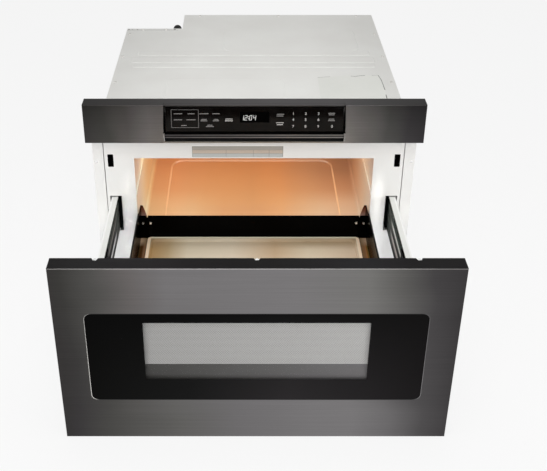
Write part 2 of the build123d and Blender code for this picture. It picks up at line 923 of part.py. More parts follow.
for side, word in SIDES:
    with BuildPart() as slide_rail:
        channel(side, (rail_web, rail_web + slide_gauge), rail_lip, rail_half, rail_span)
    keep(slide_rail, f"slide_rail_{word}")

    with BuildPart() as slide_middle:
        span = (middle_open, middle_open + middle_length)
        web = (middle_web, middle_web + slide_gauge)
        channel(side, web, middle_lip, middle_half, span)
        groove_x = across(side, arm_face - web[1], arm_face - web[1] + groove_depth)
        for up in (-1, 1):
            groove_z = (slide_axis + up * groove_near, slide_axis + up * groove_far)
            block(groove_x, span, groove_z, Mode.SUBTRACT)
    keep(slide_middle, f"slide_middle_{word}")

    with BuildPart() as slide_runner:
        span = (runner_open, runner_open + runner_length)
        channel(side, (0, slide_gauge), runner_lip, runner_half, span)
    keep(slide_runner, f"slide_runner_{word}")

    with BuildPart() as drawer_arm:
        arm_span = (door_back - skin, runner_open + runner_length)
        web = across(side, arm_face, arm_face + arm_gauge)
        block(web, arm_span, (arm_low, arm_high))
        top = across(side, arm_face - arm_top_reach, arm_face + arm_gauge)
        block(top, arm_span, (arm_high - arm_gauge, arm_high))
        low = across(side, arm_face - arm_low_reach, arm_face + arm_gauge)
        block(low, arm_span, (arm_low, arm_low + arm_gauge))
        foot = across(side, arm_face, arm_face + arm_foot)
        foot_rise = (arm_low + arm_foot_margin, arm_high - arm_foot_margin)
        block(foot, (door_back - skin - arm_gauge, door_back - skin), foot_rise)
    keep(drawer_arm, f"drawer_arm_{word}")

# ---------------------------------------------------------------- drive

pitch = pi * rack_module
pinion_r = rack_module * pinion_teeth / 2
pinion_z = rack_pitch_line - pinion_r
tip = 0.85 * rack_module
root = 1.15 * rack_module
flank = tan(radians(20))
half_tooth = tooth_share * pitch
tooth_sink = 0.2
rack_foot_half = 20.0


def tooth_halves():
    """Half the width of a tooth at its tip and at its root."""
    return half_tooth - tip * flank, half_tooth + root * flank


with BuildPart() as drive_rack:
    tip_half, root_half = tooth_halves()
    rack_front = door_back - skin
    tooth_root = rack_pitch_line + root
    block((-rack_half, rack_half), (rack_front, rack_rear), (tooth_root, rack_back))
    rack_foot = (rack_front - arm_gauge, rack_front)
    block((-rack_foot_half, rack_foot_half), rack_foot, (tooth_root, rack_back))
    first = int((door_back - pinion_y) / pitch) + 1
    last = int((rack_rear - pinion_y) / pitch) - 1
    with BuildSketch(Plane(origin=(-rack_half, 0, 0), x_dir=(0, 1, 0), z_dir=(1, 0, 0))):
        for step in range(first, last):
            y = pinion_y + (step + 0.5) * pitch
            with BuildLine():
                Polyline(
                    (y - root_half, tooth_root + tooth_sink),
                    (y - root_half, tooth_root),
                    (y - tip_half, rack_pitch_line - tip),
                    (y + tip_half, rack_pitch_line - tip),
                    (y + root_half, tooth_root),
                    (y + root_half, tooth_root + tooth_sink),
                    close=True,
                )
            make_face()
    extrude(amount=2 * rack_half)
keep(drive_rack, "drive_rack")

pinion_half = rack_half - 0.5
cheek_inner = rack_half + 2.0
cheek_outer = cheek_inner + bracket_wall
gearbox_length = 26.0

with BuildPart() as drive_pinion:
    tip_half, root_half = tooth_halves()
    root_r = pinion_r - root
    axle = Plane(origin=(-pinion_half, pinion_y, pinion_z), x_dir=(0, 1, 0), z_dir=(1, 0, 0))
    with BuildSketch(axle):
        Circle(root_r)
        with PolarLocations(0, pinion_teeth):
            with BuildLine():
                Polyline(
                    (root_r - 1, -root_half),
                    (root_r, -root_half),
                    (pinion_r + tip, -tip_half),
                    (pinion_r + tip, tip_half),
                    (root_r, root_half),
                    (root_r - 1, root_half),
                    close=True,
                )
            make_face()
    extrude(amount=2 * pinion_half)
    shaft_left = -cheek_outer - gearbox_length * 0.7
    rod((shaft_left, pinion_y, pinion_z), (1, 0, 0), shaft_r, cheek_outer + 1 - shaft_left)
keep(drive_pinion, "drive_pinion")

bracket_setback = 3.0
bracket_beyond = 24.0
bracket_foot = 14.0
bracket_span = (plate + bracket_setback, pinion_y + bracket_beyond)

with BuildPart() as motor_bracket:
    top = rack_back + drive_gap + bracket_wall
    block((-cheek_outer, cheek_outer), bracket_span, (sheet, top))
    block(
        (-cheek_inner, cheek_inner),
        bracket_span,
        (sheet + bracket_wall, top - bracket_wall),
        Mode.SUBTRACT,
    )
    block((cheek_outer, cheek_outer + bracket_foot), bracket_span, (sheet, sheet + bracket_wall))
    rod(
        (-cheek_outer, pinion_y, pinion_z),
        (1, 0, 0),
        shaft_r + running_fit,
        2 * cheek_outer,
        Mode.SUBTRACT,
    )
keep(motor_bracket, "motor_bracket")

gearbox_half_depth = 18.0
gearbox_half_height = 22.0
drive_motor_r = 15.0
drive_motor_length = 46.0
drive_motor_y = pinion_y + 6.0
motor_boss_r = 5.0
motor_boss = 3.0

with BuildPart() as drive_motor:
    gearbox_right = -cheek_outer
    gearbox_left = gearbox_right - gearbox_length
    block(
        (gearbox_left, gearbox_right),
        about(pinion_y + 3, gearbox_half_depth),
        about(pinion_z, gearbox_half_height),
    )
    fillet(drive_motor.edges().filter_by(Axis.X), radius=5)
    rod((gearbox_left, drive_motor_y, pinion_z), (-1, 0, 0), drive_motor_r, drive_motor_length)
    fillet(drive_motor.faces().sort_by(Axis.X)[0].edges(), radius=2)
    motor_left = gearbox_left - drive_motor_length
    rod((motor_left, drive_motor_y, pinion_z), (-1, 0, 0), motor_boss_r, motor_boss)
    rod(
        (gearbox_right, pinion_y, pinion_z),
        (-1, 0, 0),
        shaft_r + running_fit,
        gearbox_length * 0.8,
        Mode.SUBTRACT,
    )
keep(drive_motor, "drive_motor")

# ---------------------------------------------------------------- fascia and controls

with BuildPart() as fascia_skin:
    block((-front_half, front_half), (-fascia_depth, 0), (fascia_low, fascia_top))
    front_edges = fascia_skin.faces().sort_by(Axis.Y)[0].edges()
    fillet(front_edges, radius=0.8)
    block(
        (skin - front_half, front_half - skin),
        (skin - fascia_depth, 0),
        (fascia_low + skin, fascia_top - skin),
        Mode.SUBTRACT,
    )
    block(
        (-control_half, control_half),
        (-fascia_depth, control_wrap - fascia_depth),
        (fascia_low + control_low, fascia_top),
        Mode.SUBTRACT,
    )
keep(fascia_skin, "fascia_skin")

fascia_slot = (34.0, 5.0)
fascia_slot_pitch = 60.0
fascia_slots = 8
fascia_slot_drop = 22.0

with BuildPart() as fascia_back:
    inset = skin + control_gap / 2
    block(
        (inset - front_half, front_half - inset),
        (-plate, 0),
        (fascia_low + inset, fascia_top - inset),
    )
    with BuildSketch(upright(0)):
        with Locations((0, fascia_top - fascia_slot_drop)):
            with GridLocations(fascia_slot_pitch, 1, fascia_slots, 1):
                SlotOverall(*fascia_slot)
    extrude(amount=plate, mode=Mode.SUBTRACT)
keep(fascia_back, "fascia_back")

trim_half = control_half - control_gap
cheek_half = trim_half - skin

with BuildPart() as control_trim:
    trim_front = -fascia_depth
    trim_rear = control_wrap - fascia_depth - control_gap
    block((-trim_half, trim_half), (trim_front, trim_rear), (fascia_top - skin, fascia_top))
    block((-trim_half, trim_half), (trim_front, trim_front + skin), (glass_head, fascia_top))
    lip_front = trim_front + lip_setback
    block((-trim_half, trim_half), (lip_front, lip_front + skin), (lip_low, lip_high))
    for side, _ in SIDES:
        block(
            across(side, cheek_half, trim_half),
            (lip_front, trim_rear),
            (fascia_low + control_low + control_gap, fascia_top),
        )
    lip_edges = control_trim.edges().filter_by(Axis.X).filter_by(
        lambda edge: edge.center().Y < lip_front + 0.1 and edge.center().Z < glass_foot
    )
    chamfer(lip_edges, length=0.5)
keep(control_trim, "control_trim")


def glass_back_y(z):
    """How deep the back of the leaning control glass stands at a height z."""
    share = (z - glass_foot) / (glass_head - glass_foot)
    return glass_setback - fascia_depth + control_glass_thickness + share * glass_lean


def along_x(half):
    """A plane across the left end of a piece that runs between two X places."""
    return Plane(origin=(-half, 0, 0), x_dir=(0, 1, 0), z_dir=(1, 0, 0))


pocket_margin = 4.0
pocket_wall = 2.0
glass_clear = 0.2
bezel_half = cheek_half - glass_clear
bezel_low = fascia_low + control_low + control_gap
pocket_half = bezel_half - pocket_margin
pocket_rear = -fascia_depth + bezel_rear - pocket_wall

with BuildPart() as control_bezel:
    face_y = bezel_setback - fascia_depth
    rear_y = bezel_rear - fascia_depth
    head = glass_head - glass_clear
    with BuildSketch(along_x(bezel_half)):
        with BuildLine():
            Polyline(
                (face_y, bezel_low),
                (face_y, glass_foot),
                (glass_back_y(glass_foot), glass_foot),
                (glass_back_y(head), head),
                (rear_y, head),
                (rear_y, bezel_low),
                close=True,
            )
        make_face()
    extrude(amount=2 * bezel_half)
    block(
        (-pocket_half, pocket_half),
        (-fascia_depth, pocket_rear),
        (glass_foot + pocket_margin, glass_head - pocket_margin),
        Mode.SUBTRACT,
    )
keep(control_bezel, "control_bezel")

with BuildPart() as control_glass:
    head = glass_head - glass_clear
    foot = glass_foot + glass_clear
    with BuildSketch(along_x(bezel_half)):
        with BuildLine():
            Polyline(
                (glass_back_y(foot) - control_glass_thickness, foot),
                (glass_back_y(foot), foot),
                (glass_back_y(head), head),
                (glass_back_y(head) - control_glass_thickness, head),
                close=True,
            )
        make_face()
    extrude(amount=2 * bezel_half)
keep(control_glass, "control_glass")

board_gauge = 1.6
board_gap = 2.4
board_foot = 7.0
board_head = 6.0
board_margin = 4.0
board_peg_width = 8.0
board_peg_margin = (16.0, 10.0)
display_gap = 0.4
board_rear_y = pocket_rear - board_gap

with BuildPart() as control_board:
    board_low = glass_foot + board_foot
    board_high = glass_head - board_head
    board_half = pocket_half - board_margin
    peg_inset, peg_drop = board_peg_margin
    board_front_y = board_rear_y - board_gauge
    block((-board_half, board_half), (board_front_y, board_rear_y), (board_low, board_high))
    peg_z = (board_low + board_high) / 2
    with Locations((0, (board_rear_y + pocket_rear) / 2, peg_z)):
        with GridLocations(2 * board_half - peg_inset, 1, 2, 1):
            Box(board_peg_width, board_gap, board_high - board_low - peg_drop)
    display_front = glass_back_y(display_high) + display_gap
    block((-display_half, display_half), (display_front, board_front_y), (display_low, display_high))
keep(control_board, "control_board")

# ---------------------------------------------------------------- door

screen_gap = 0.4
screen_inset = 6.0
glass_front = door_front + glass_recess
screen_front = glass_front + glass_thickness + screen_gap
channel_front = screen_front + screen_gauge
mouth_half = cavity_half + choke_inner
mouth_low = cavity_floor - choke_inner
mouth_high = cavity_top + choke_inner
ring_half = mouth_half + choke_width
ring_low = mouth_low - choke_width
ring_high = mouth_high + choke_width
latch_x = (latch_inner + latch_outer) / 2
latch_z = (latch_low + latch_high) / 2
latch_pivot_y = door_back - latch_pivot_depth
ear_gauge = 2.0
ear_gap = 0.3
ear_reach = 6.0
ear_half_height = 7.0
slot_margin = 1.0
tab_places = (tab_inset - front_half, 0, front_half - tab_inset)

with BuildPart() as door_skin:
    block((-front_half, front_half), (door_front, door_back), (door_bottom, door_top))
    front_edges = door_skin.faces().sort_by(Axis.Y)[0].edges()
    fillet(front_edges, radius=0.8)
    block(
        (skin - front_half, front_half - skin),
        (door_front + skin, door_back),
        (door_bottom + skin, door_top - skin),
        Mode.SUBTRACT,
    )
    with BuildSketch(upright(door_front)):
        with Locations((0, (panel_low + panel_high) / 2)):
            RectangleRounded(2 * panel_half, panel_high - panel_low, panel_r)
    extrude(amount=-skin, mode=Mode.SUBTRACT)
    with BuildSketch(Plane.XY.offset(door_top)):
        for x in tab_places:
            with BuildLine():
                Polyline(
                    (x - tab_notch / 2, door_back),
                    (x - tab_notch_foot / 2, door_back - tab_depth),
                    (x + tab_notch_foot / 2, door_back - tab_depth),
                    (x + tab_notch / 2, door_back),
                    close=True,
                )
            make_face()
    extrude(amount=-skin, mode=Mode.SUBTRACT)
keep(door_skin, "door_skin")

with BuildPart() as door_glass:
    with BuildSketch(upright(glass_front)):
        with Locations((0, (panel_low + panel_high) / 2)):
            RectangleRounded(
                2 * (panel_half - glass_gap),
                panel_high - panel_low - 2 * glass_gap,
                panel_r - glass_gap,
            )
    extrude(amount=-glass_thickness)
    chamfer(door_glass.faces().sort_by(Axis.Y)[0].edges(), length=0.4)
keep(door_glass, "door_glass")

with BuildPart() as window_screen:
    reach = choke_width - screen_inset
    block(
        (-mouth_half - reach, mouth_half + reach),
        (screen_front, screen_front + screen_gauge),
        (mouth_low - reach, mouth_high + reach),
    )
keep(window_screen, "window_screen")

pane_margin = 15.0
pane_gauge = 2.0

with BuildPart() as inner_window:
    block(
        (-window_half - pane_margin, window_half + pane_margin),
        (door_back - skin - pane_gauge, door_back - skin),
        (window_low - pane_margin, window_high + pane_margin),
    )
    fillet(inner_window.edges().filter_by(Axis.Y), radius=6)
keep(inner_window, "inner_window")

with BuildPart() as door_frame:
    wall = (door_back - skin, door_back)
    rim_inset = skin + frame_gap
    outer_x = front_half - rim_inset
    outer_z = (door_bottom + rim_inset, door_top - rim_inset)
    rim_depth = 11.0
    tab_fit = 0.3
    block((-outer_x, outer_x), (door_back - rim_depth, door_back), outer_z)
    block(
        (skin - outer_x, outer_x - skin),
        (door_back - rim_depth, door_back - skin),
        (outer_z[0] + skin, outer_z[1] - skin),
        Mode.SUBTRACT,
    )
    block(
        (-ring_half - skin, ring_half + skin),
        (channel_front, door_back),
        (ring_low - skin, ring_high + skin),
    )
    block(
        (skin - mouth_half, mouth_half - skin),
        (channel_front, door_back - skin),
        (mouth_low + skin, mouth_high - skin),
        Mode.SUBTRACT,
    )
    with BuildSketch(upright(door_back)):
        with Locations((0, (ring_low + ring_high) / 2)):
            Rectangle(2 * ring_half, ring_high - ring_low)
        with Locations((0, (mouth_low + mouth_high) / 2)):
            Rectangle(2 * mouth_half, mouth_high - mouth_low, mode=Mode.SUBTRACT)
    extrude(amount=door_back - channel_front - skin, mode=Mode.SUBTRACT)
    block(
        (-window_half - window_margin, window_half + window_margin),
        wall,
        (window_low - window_margin, window_high + window_margin),
        Mode.SUBTRACT,
    )
    for side, _ in SIDES:
        block(
            across(side, arm_face - arm_top_reach - frame_gap, arm_face + arm_gauge + frame_gap),
            wall,
            (arm_low - frame_gap, arm_high + frame_gap),
            Mode.SUBTRACT,
        )
        block(
            about(side * latch_x, latch_thickness / 2 + slot_margin),
            wall,
            (latch_low + slot_margin, latch_high - slot_margin),
            Mode.SUBTRACT,
        )
        ear_near = latch_thickness / 2 + ear_gap
        for end in (-1, 1):
            ear_x = about(side * latch_x + end * (ear_near + ear_gauge / 2), ear_gauge / 2)
            ear_y = (latch_pivot_y - ear_reach, door_back - skin)
            block(ear_x, ear_y, about(latch_z, ear_half_height))
        rod(
            (side * latch_x - ear_near - ear_gauge, latch_pivot_y, latch_z),
            (1, 0, 0),
            latch_pin_r + running_fit,
            2 * (ear_near + ear_gauge),
            Mode.SUBTRACT,
        )
    block(
        (-rack_half - frame_gap, rack_half + frame_gap),
        wall,
        (rack_pitch_line - tip - frame_gap, rack_back + frame_gap),
        Mode.SUBTRACT,
    )
    for x in tab_places:
        block(about(x, tab_width / 2), wall, (outer_z[1] - skin, door_top - tab_fit))
keep(door_frame, "door_frame")

with BuildPart() as choke_cover:
    fit = 0.3
    cover_gauge = 2.0
    with BuildSketch(upright(door_back)):
        with Locations((0, (ring_low + ring_high) / 2)):
            Rectangle(2 * (ring_half - fit), ring_high - ring_low - 2 * fit)
        with Locations((0, (mouth_low + mouth_high) / 2)):
            Rectangle(2 * (mouth_half + fit), mouth_high - mouth_low + 2 * fit, mode=Mode.SUBTRACT)
    extrude(amount=cover_gauge)
keep(choke_cover, "choke_cover")

latch_tail = 5.0
latch_tail_half = 4.0
latch_nose = 5.0
latch_hook = 3.0
latch_hook_slope = 4.0
latch_hook_length = 10.0

for side, word in SIDES:
    with BuildPart() as latch_head:
        x = side * latch_x
        pin_half = latch_thickness / 2 + ear_gap + ear_gauge
        tail_y = latch_pivot_y - latch_tail
        nose_y = door_back + latch_reach
        low = latch_z - latch_height / 2
        high = latch_z + latch_height / 2
        with BuildSketch(
            Plane(origin=(x - latch_thickness / 2, 0, 0), x_dir=(0, 1, 0), z_dir=(1, 0, 0))
        ):
            with BuildLine():
                Polyline(
                    (tail_y, latch_z - latch_tail_half),
                    (latch_pivot_y, low),
                    (nose_y - latch_nose, low),
                    (nose_y, low + latch_nose),
                    (nose_y, high),
                    (nose_y - latch_hook_slope, high + latch_hook),
                    (nose_y - latch_hook_length, high + latch_hook),
                    (nose_y - latch_hook_length, high),
                    (latch_pivot_y, high),
                    (tail_y, latch_z + latch_tail_half),
                    close=True,
                )
            make_face()
        extrude(amount=latch_thickness)
        rod((x - pin_half, latch_pivot_y, latch_z), (1, 0, 0), latch_pin_r, 2 * pin_half)
    keep(latch_head, f"latch_head_{word}")

# ---------------------------------------------------------------- basket

basket_clear = 0.2
tray_clear = 0.6
tray_foot = 6.0
tray_corner_r = 8.0
recess_corner_r = 12.0
recess_slope = 30
rim_round = 1.2
return_gap = 1.0
return_drop = 3.0
rear_notch = (3.0, 4.0)
inner_screw_length = 4.0
outer_screw_length = 5.0
tray_frame_top = tray_frame_low + tray_frame_gauge
frame_half = wall_inner - basket_clear
ledge_inner = tray_half + tray_clear
tray_front = door_back + 9.0
tray_rear = rear_wall_y - 2.0
return_front = rear_wall_y - plate

with BuildPart() as tray_frame:
    span = (door_back, basket_tail - return_drop)
    block((-frame_half, frame_half), span, (tray_frame_low, tray_frame_top))
    for side, _ in SIDES:
        block(
            across(side, ledge_inner, frame_half),
            (door_back, return_front - basket_clear),
            (tray_frame_top, ledge_top),
        )
    block(
        (-frame_half, frame_half), (door_back, tray_front - tray_clear), (tray_frame_top, ledge_top)
    )
keep(tray_frame, "tray_frame")

with BuildPart() as tray:
    floor_top = tray_top - tray_recess
    recess_half = tray_half - tray_rim
    block((-tray_half, tray_half), (tray_front, tray_rear), (tray_frame_top, tray_top))
    fillet(tray.edges().filter_by(Axis.Z), radius=tray_corner_r)
    with BuildSketch(Plane.XY.offset(tray_top)):
        with Locations((0, (tray_front + tray_rear) / 2)):
            recess_depth = tray_rear - tray_front - 2 * tray_rim
            RectangleRounded(2 * recess_half, recess_depth, recess_corner_r)
    extrude(amount=-tray_recess, taper=recess_slope, mode=Mode.SUBTRACT)
    fillet(tray.faces().sort_by(Axis.Z)[-1].edges(), radius=rim_round)
    skirt = tray_half - tray_foot
    block(
        (-skirt, skirt),
        (tray_front + tray_foot, tray_rear - tray_foot),
        (tray_frame_top, floor_top - tray_floor),
        Mode.SUBTRACT,
    )
keep(tray, "tray")

for side, word in SIDES:
    with BuildPart() as basket_side:
        inner = wall_inner
        block(
            across(side, inner, basket_half),
            (door_back, basket_tail),
            (tray_frame_low, basket_top),
        )
        block(
            across(side, inner - return_width, inner),
            (door_back, door_back + basket_sheet),
            (ledge_top + return_gap, basket_top),
        )
        block(
            across(side, inner - return_width, inner),
            (return_front, rear_wall_y),
            (ledge_top + return_gap, rear_wall_top - return_drop),
        )
        tail_y = basket_tail - basket_sheet
        with BuildSketch(upright(tail_y)):
            with BuildLine():
                brow = (side * (inner - tail_brow), basket_top)
                cheek = (side * (inner - tail_cheek), basket_top - tail_round / 2)
                jaw = (side * (inner - return_width), basket_top - tail_round)
                foot = (side * (inner - return_width), tray_frame_top + 1)
                heel = (side * inner, tray_frame_top + 1)
                crown = (side * inner, basket_top)
                ThreePointArc(brow, cheek, jaw)
                Polyline(jaw, foot, heel, crown, brow)
            make_face()
        extrude(amount=-basket_sheet)
        with BuildSketch(upright(return_front)):
            with Locations((side * basket_screw_places[1], basket_screw_z)):
                Circle(screw_r + screw_fit)
        extrude(amount=return_front - rear_wall_y, mode=Mode.SUBTRACT)
        top_edges = basket_side.edges().filter_by(Axis.Y).group_by(Axis.Z)[-1]
        fillet(top_edges, radius=0.35)
    keep(basket_side, f"basket_side_{word}")

with BuildPart() as basket_rear:
    wall_y = (rear_wall_y, rear_wall_y + basket_sheet)
    block((-frame_half, frame_half), wall_y, (tray_frame_top, rear_wall_top))
    for side, _ in SIDES:
        notch = wall_inner - return_width
        notch_across, notch_down = rear_notch
        block(
            across(side, notch - notch_across, notch),
            wall_y,
            (rear_wall_top - notch_down, rear_wall_top),
            Mode.SUBTRACT,
        )
        with BuildSketch(upright(rear_wall_y)):
            for place in basket_screw_places:
                with Locations((side * place, basket_screw_z)):
                    Circle(screw_r + screw_fit)
        extrude(amount=-basket_sheet, mode=Mode.SUBTRACT)
keep(basket_rear, "basket_rear")

with BuildPart() as basket_screws:
    for side, _ in SIDES:
        inner_place, outer_place = basket_screw_places
        screw((side * inner_place, rear_wall_y, basket_screw_z), (0, -1, 0), inner_screw_length)
        screw((side * outer_place, return_front, basket_screw_z), (0, -1, 0), outer_screw_length)
keep(basket_screws, "basket_screws")
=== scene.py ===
"""The looks of a built-in microwave drawer: camera, light, finishes and printed or thin detail.

Metres, in the frame of the solids: X right, Y into the cabinet, Z up. The drawer stands open.
"""

import json
import math

import bpy
from mathutils import Matrix, Vector


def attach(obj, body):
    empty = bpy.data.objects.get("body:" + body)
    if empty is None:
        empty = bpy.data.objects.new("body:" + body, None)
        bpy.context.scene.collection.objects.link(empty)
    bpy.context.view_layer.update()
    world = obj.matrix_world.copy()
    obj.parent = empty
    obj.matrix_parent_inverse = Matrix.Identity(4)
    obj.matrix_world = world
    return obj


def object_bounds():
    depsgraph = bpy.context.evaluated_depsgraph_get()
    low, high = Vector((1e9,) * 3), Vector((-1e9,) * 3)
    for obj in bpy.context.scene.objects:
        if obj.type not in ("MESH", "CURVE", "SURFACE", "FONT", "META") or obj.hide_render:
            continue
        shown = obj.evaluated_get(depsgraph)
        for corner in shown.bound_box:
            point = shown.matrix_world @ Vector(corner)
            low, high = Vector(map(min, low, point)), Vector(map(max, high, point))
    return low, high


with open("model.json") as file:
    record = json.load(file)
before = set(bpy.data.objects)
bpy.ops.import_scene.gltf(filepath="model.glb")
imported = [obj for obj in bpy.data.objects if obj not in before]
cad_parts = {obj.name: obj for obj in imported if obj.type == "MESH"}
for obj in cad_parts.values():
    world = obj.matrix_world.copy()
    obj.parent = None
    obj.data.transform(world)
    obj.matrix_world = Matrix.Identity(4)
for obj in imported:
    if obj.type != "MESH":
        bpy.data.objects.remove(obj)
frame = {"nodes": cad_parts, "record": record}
cad_box = [list(corner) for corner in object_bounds()]

MM = 0.001

# ---------------- camera

PHOTO_WIDTH, PHOTO_HEIGHT = 547, 471
FOCAL_PIXELS = 934.17
CENTRE_PIXEL = (241.955, 193.476)
CAMERA_PLACE = (-0.02206, -1.52195, 1.07744)
CAMERA_PITCH = 30.044
SENSOR = 36.0
CLIP_NEAR, CLIP_FAR = 0.01, 100.0


def place_object(name, data):
    """Adds an object to the scene."""
    made = bpy.data.objects.new(name, data)
    bpy.context.scene.collection.objects.link(made)
    return made


def make_camera():
    """The camera at the photograph's place, tilted down at the drawer."""
    data = bpy.data.cameras.new("camera")
    data.sensor_width = SENSOR
    data.lens = FOCAL_PIXELS / PHOTO_WIDTH * SENSOR
    data.shift_x = (PHOTO_WIDTH / 2 - CENTRE_PIXEL[0]) / PHOTO_WIDTH
    data.shift_y = (CENTRE_PIXEL[1] - PHOTO_HEIGHT / 2) / PHOTO_WIDTH
    data.clip_start = CLIP_NEAR
    data.clip_end = CLIP_FAR
    camera = place_object("camera", data)
    camera.location = CAMERA_PLACE
    camera.rotation_euler = (math.radians(90 - CAMERA_PITCH), 0, 0)
    bpy.context.scene.camera = camera


# ---------------- node trees

NOISE_SPAN = (0.3, 0.7)
SMEAR_SPAN = (0.35, 0.75)
CLOUD = 0.09
PEEL_DEPTH = 0.02 * MM


def srgb(code):
    """The linear colour of six hex digits."""
    channels = [int(code[place : place + 2], 16) / 255 for place in (0, 2, 4)]
    linear = [c / 12.92 if c <= 0.04045 else ((c + 0.055) / 1.055) ** 2.4 for c in channels]
    return (*linear, 1.0)


def grey(level):
    """A linear grey."""
    return (level, level, level, 1.0)


class Tree:
    """The node tree of a material or a world."""

    def __init__(self, owner):
        owner.use_nodes = True
        self.nodes = owner.node_tree.nodes
        self.links = owner.node_tree.links

    def add(self, kind, sources=(), **settings):
        """A node, with its settings made and its inputs linked or set."""
        made = self.nodes.new(kind)
        for name, value in settings.items():
            setattr(made, name, value)
        for socket, source in dict(sources).items():
            if isinstance(source, bpy.types.NodeSocket):
                self.links.new(source, made.inputs[socket])
            else:
                made.inputs[socket].default_value = source
        return made

    def ramp(self, value, marks):
        """A colour ramp through (place, linear colour) marks."""
        made = self.add("ShaderNodeValToRGB", {0: value})
        ends = made.color_ramp.elements
        for end, (position, colour) in ((ends[0], marks[0]), (ends[1], marks[-1])):
            end.position, end.color = position, colour
        for position, colour in marks[1:-1]:
            ends.new(position).color = colour
        return made.outputs[0]


class Finish(Tree):
    """A material: one Principled shader, and the patterns that feed it in object space."""

    def __init__(self, name, colour, roughness=0.5, **constants):
        self.material = bpy.data.materials.new(name)
        super().__init__(self.material)
        self.shader = self.nodes["Principled BSDF"]
        self.place = self.nodes.new("ShaderNodeTexCoord").outputs["Object"]
        constants = {"Base Color": srgb(colour), "Roughness": roughness, **constants}
        for socket, value in constants.items():
            self.shader.inputs[socket.replace("_", " ")].default_value = value

    def math(self, operation, first, second=0.0):
        """One arithmetic step."""
        return self.add("ShaderNodeMath", {0: first, 1: second}, operation=operation).outputs[0]

    def times(self, first, *others):
        """The product of several values."""
        for other in others:
            first = self.math("MULTIPLY", first, other)
        return first

    def over(self, value, limit):
        """1 above a limit and 0 below."""
        return self.math("GREATER_THAN", value, limit)

    def under(self, value, limit):
        """1 below a limit and 0 above."""
        return self.math("LESS_THAN", value, limit)

    def axis(self, name):
        """The place along one axis, in metres."""
        return self.add("ShaderNodeSeparateXYZ", {0: self.place}).outputs[name]

    def axes(self):
        """The places across, in depth and in height."""
        return [self.axis(name) for name in "XYZ"]

    def outwards(self):
        """The distance to either side of the middle."""
        return self.math("ABSOLUTE", self.axis("X"))

    def across(self, half):
        """How far along it is from the left edge to the right one, from 0 to 1."""
        return self.span(self.axis("X"), -half, half)

    def noise(self, grain, stretch=(1, 1, 1), detail=3.0, rough=0.5):
        """Smooth noise whose grain is a size in metres, stretched along any axis."""
        scale = tuple(1 / (grain * factor) for factor in stretch)
        spot = self.add("ShaderNodeMapping", {0: self.place, 3: scale}).outputs[0]
        sources = {"Vector": spot, "Scale": 1.0, "Detail": detail, "Roughness": rough}
        return self.add("ShaderNodeTexNoise", sources).outputs["Fac"]

    def cells(self, size):
        """A random value for each cell of a crystal-like pattern."""
        sources = {"Vector": self.place, "Scale": 1 / size}
        colour = self.add("ShaderNodeTexVoronoi", sources).outputs["Color"]
        return self.add("ShaderNodeSeparateXYZ", {0: colour}).outputs[0]

    def span(self, value, start, end, low=0.0, high=1.0):
        """A value carried from one range to another and held at its ends."""
        sources = {0: value, 1: start, 2: end, 3: low, 4: high}
        return self.add("ShaderNodeMapRange", sources).outputs[0]

    def swing(self, noise, low=0.0, high=1.0):
        """Noise spread over a whole range."""
        return self.span(noise, *NOISE_SPAN, low, high)

    def stops(self, value, colours):
        """A colour ramp through (place, hex colour) stops."""
        return self.ramp(value, [(position, srgb(colour)) for position, colour in colours])

    def sided(self, value, left, right):
        """A colour ramp of its own for each side of the middle."""
        ramps = [self.stops(value, colours) for colours in (left, right)]
        return self.mix(self.over(self.axis("X"), 0.0), *ramps)

    def cloudy(self, grain, first, second, detail=3.0):
        """Two colours in soft clouds."""
        return self.mix(self.swing(self.noise(grain, detail=detail)), first, second)

    def mix(self, share, first, second):
        """A blend of two colours, each a socket or hex digits."""
        first, second = [srgb(c) if isinstance(c, str) else c for c in (first, second)]
        sources = {0: share, 6: first, 7: second}
        return self.add("ShaderNodeMix", sources, data_type="RGBA").outputs[2]

    def multiply(self, first, second):
        """One colour times another."""
        sources = {0: 1.0, 6: first, 7: second}
        return self.add("ShaderNodeMix", sources, data_type="RGBA", blend_type="MULTIPLY").outputs[2]

    def darken(self, colour, amount):
        """A colour scaled by a value around one."""
        factor = self.add("ShaderNodeCombineXYZ", dict.fromkeys(range(3), amount))
        return self.multiply(colour, factor.outputs[0])

    def feed(self, name, socket):
        """Links a value to the shader."""
        self.links.new(socket, self.shader.inputs[name])
        return self

    def colour(self, socket):
        """Feeds the base colour."""
        return self.feed("Base Color", socket)

    def roughness(self, socket):
        """Feeds the roughness."""
        return self.feed("Roughness", socket)

    def bump(self, height, depth):
        """Relief of a depth in metres."""
        made = self.add("ShaderNodeBump", {"Height": height, "Distance": depth, "Strength": 1.0})
        return self.feed("Normal", made.outputs[0])

    def grained(self, grain, depth, low, high):
        """A fine grain, which shows in the relief and in a roughness from low to high."""
        texture = self.noise(grain, detail=2)
        return self.roughness(self.swing(texture, low, high)).bump(texture, depth)

    def smeared(self, size, low, high):
        """Faint smears, which show in a roughness from low to high."""
        return self.roughness(self.span(self.noise(size, detail=4), *SMEAR_SPAN, low, high))

    def inside(self, **spans):
        """1 within the given span of each named axis and 0 outside."""
        tests = []
        for name, (low, high) in spans.items():
            value = self.axis(name)
            tests += [self.over(value, low), self.under(value, high)]
        return self.times(*tests)


# ---------------- finishes

# A table of stops holds places from 0 to 1 over the span its finish measures, and the hex colour there.


def enamel(name, colour, shade, roughness=0.4, grain=2.5 * MM, **constants):
    """Sprayed paint: a faint cloudiness and a fine orange-peel relief."""
    finish = Finish(name, colour, roughness, **constants)
    finish.colour(finish.cloudy(CLOUD, shade, colour, detail=4))
    return finish.grained(grain, PEEL_DEPTH, roughness - 0.05, roughness + 0.07)


SIDE_FADE = (0.12, 0.285)
SIDE_TONES = (1.0, 0.89)


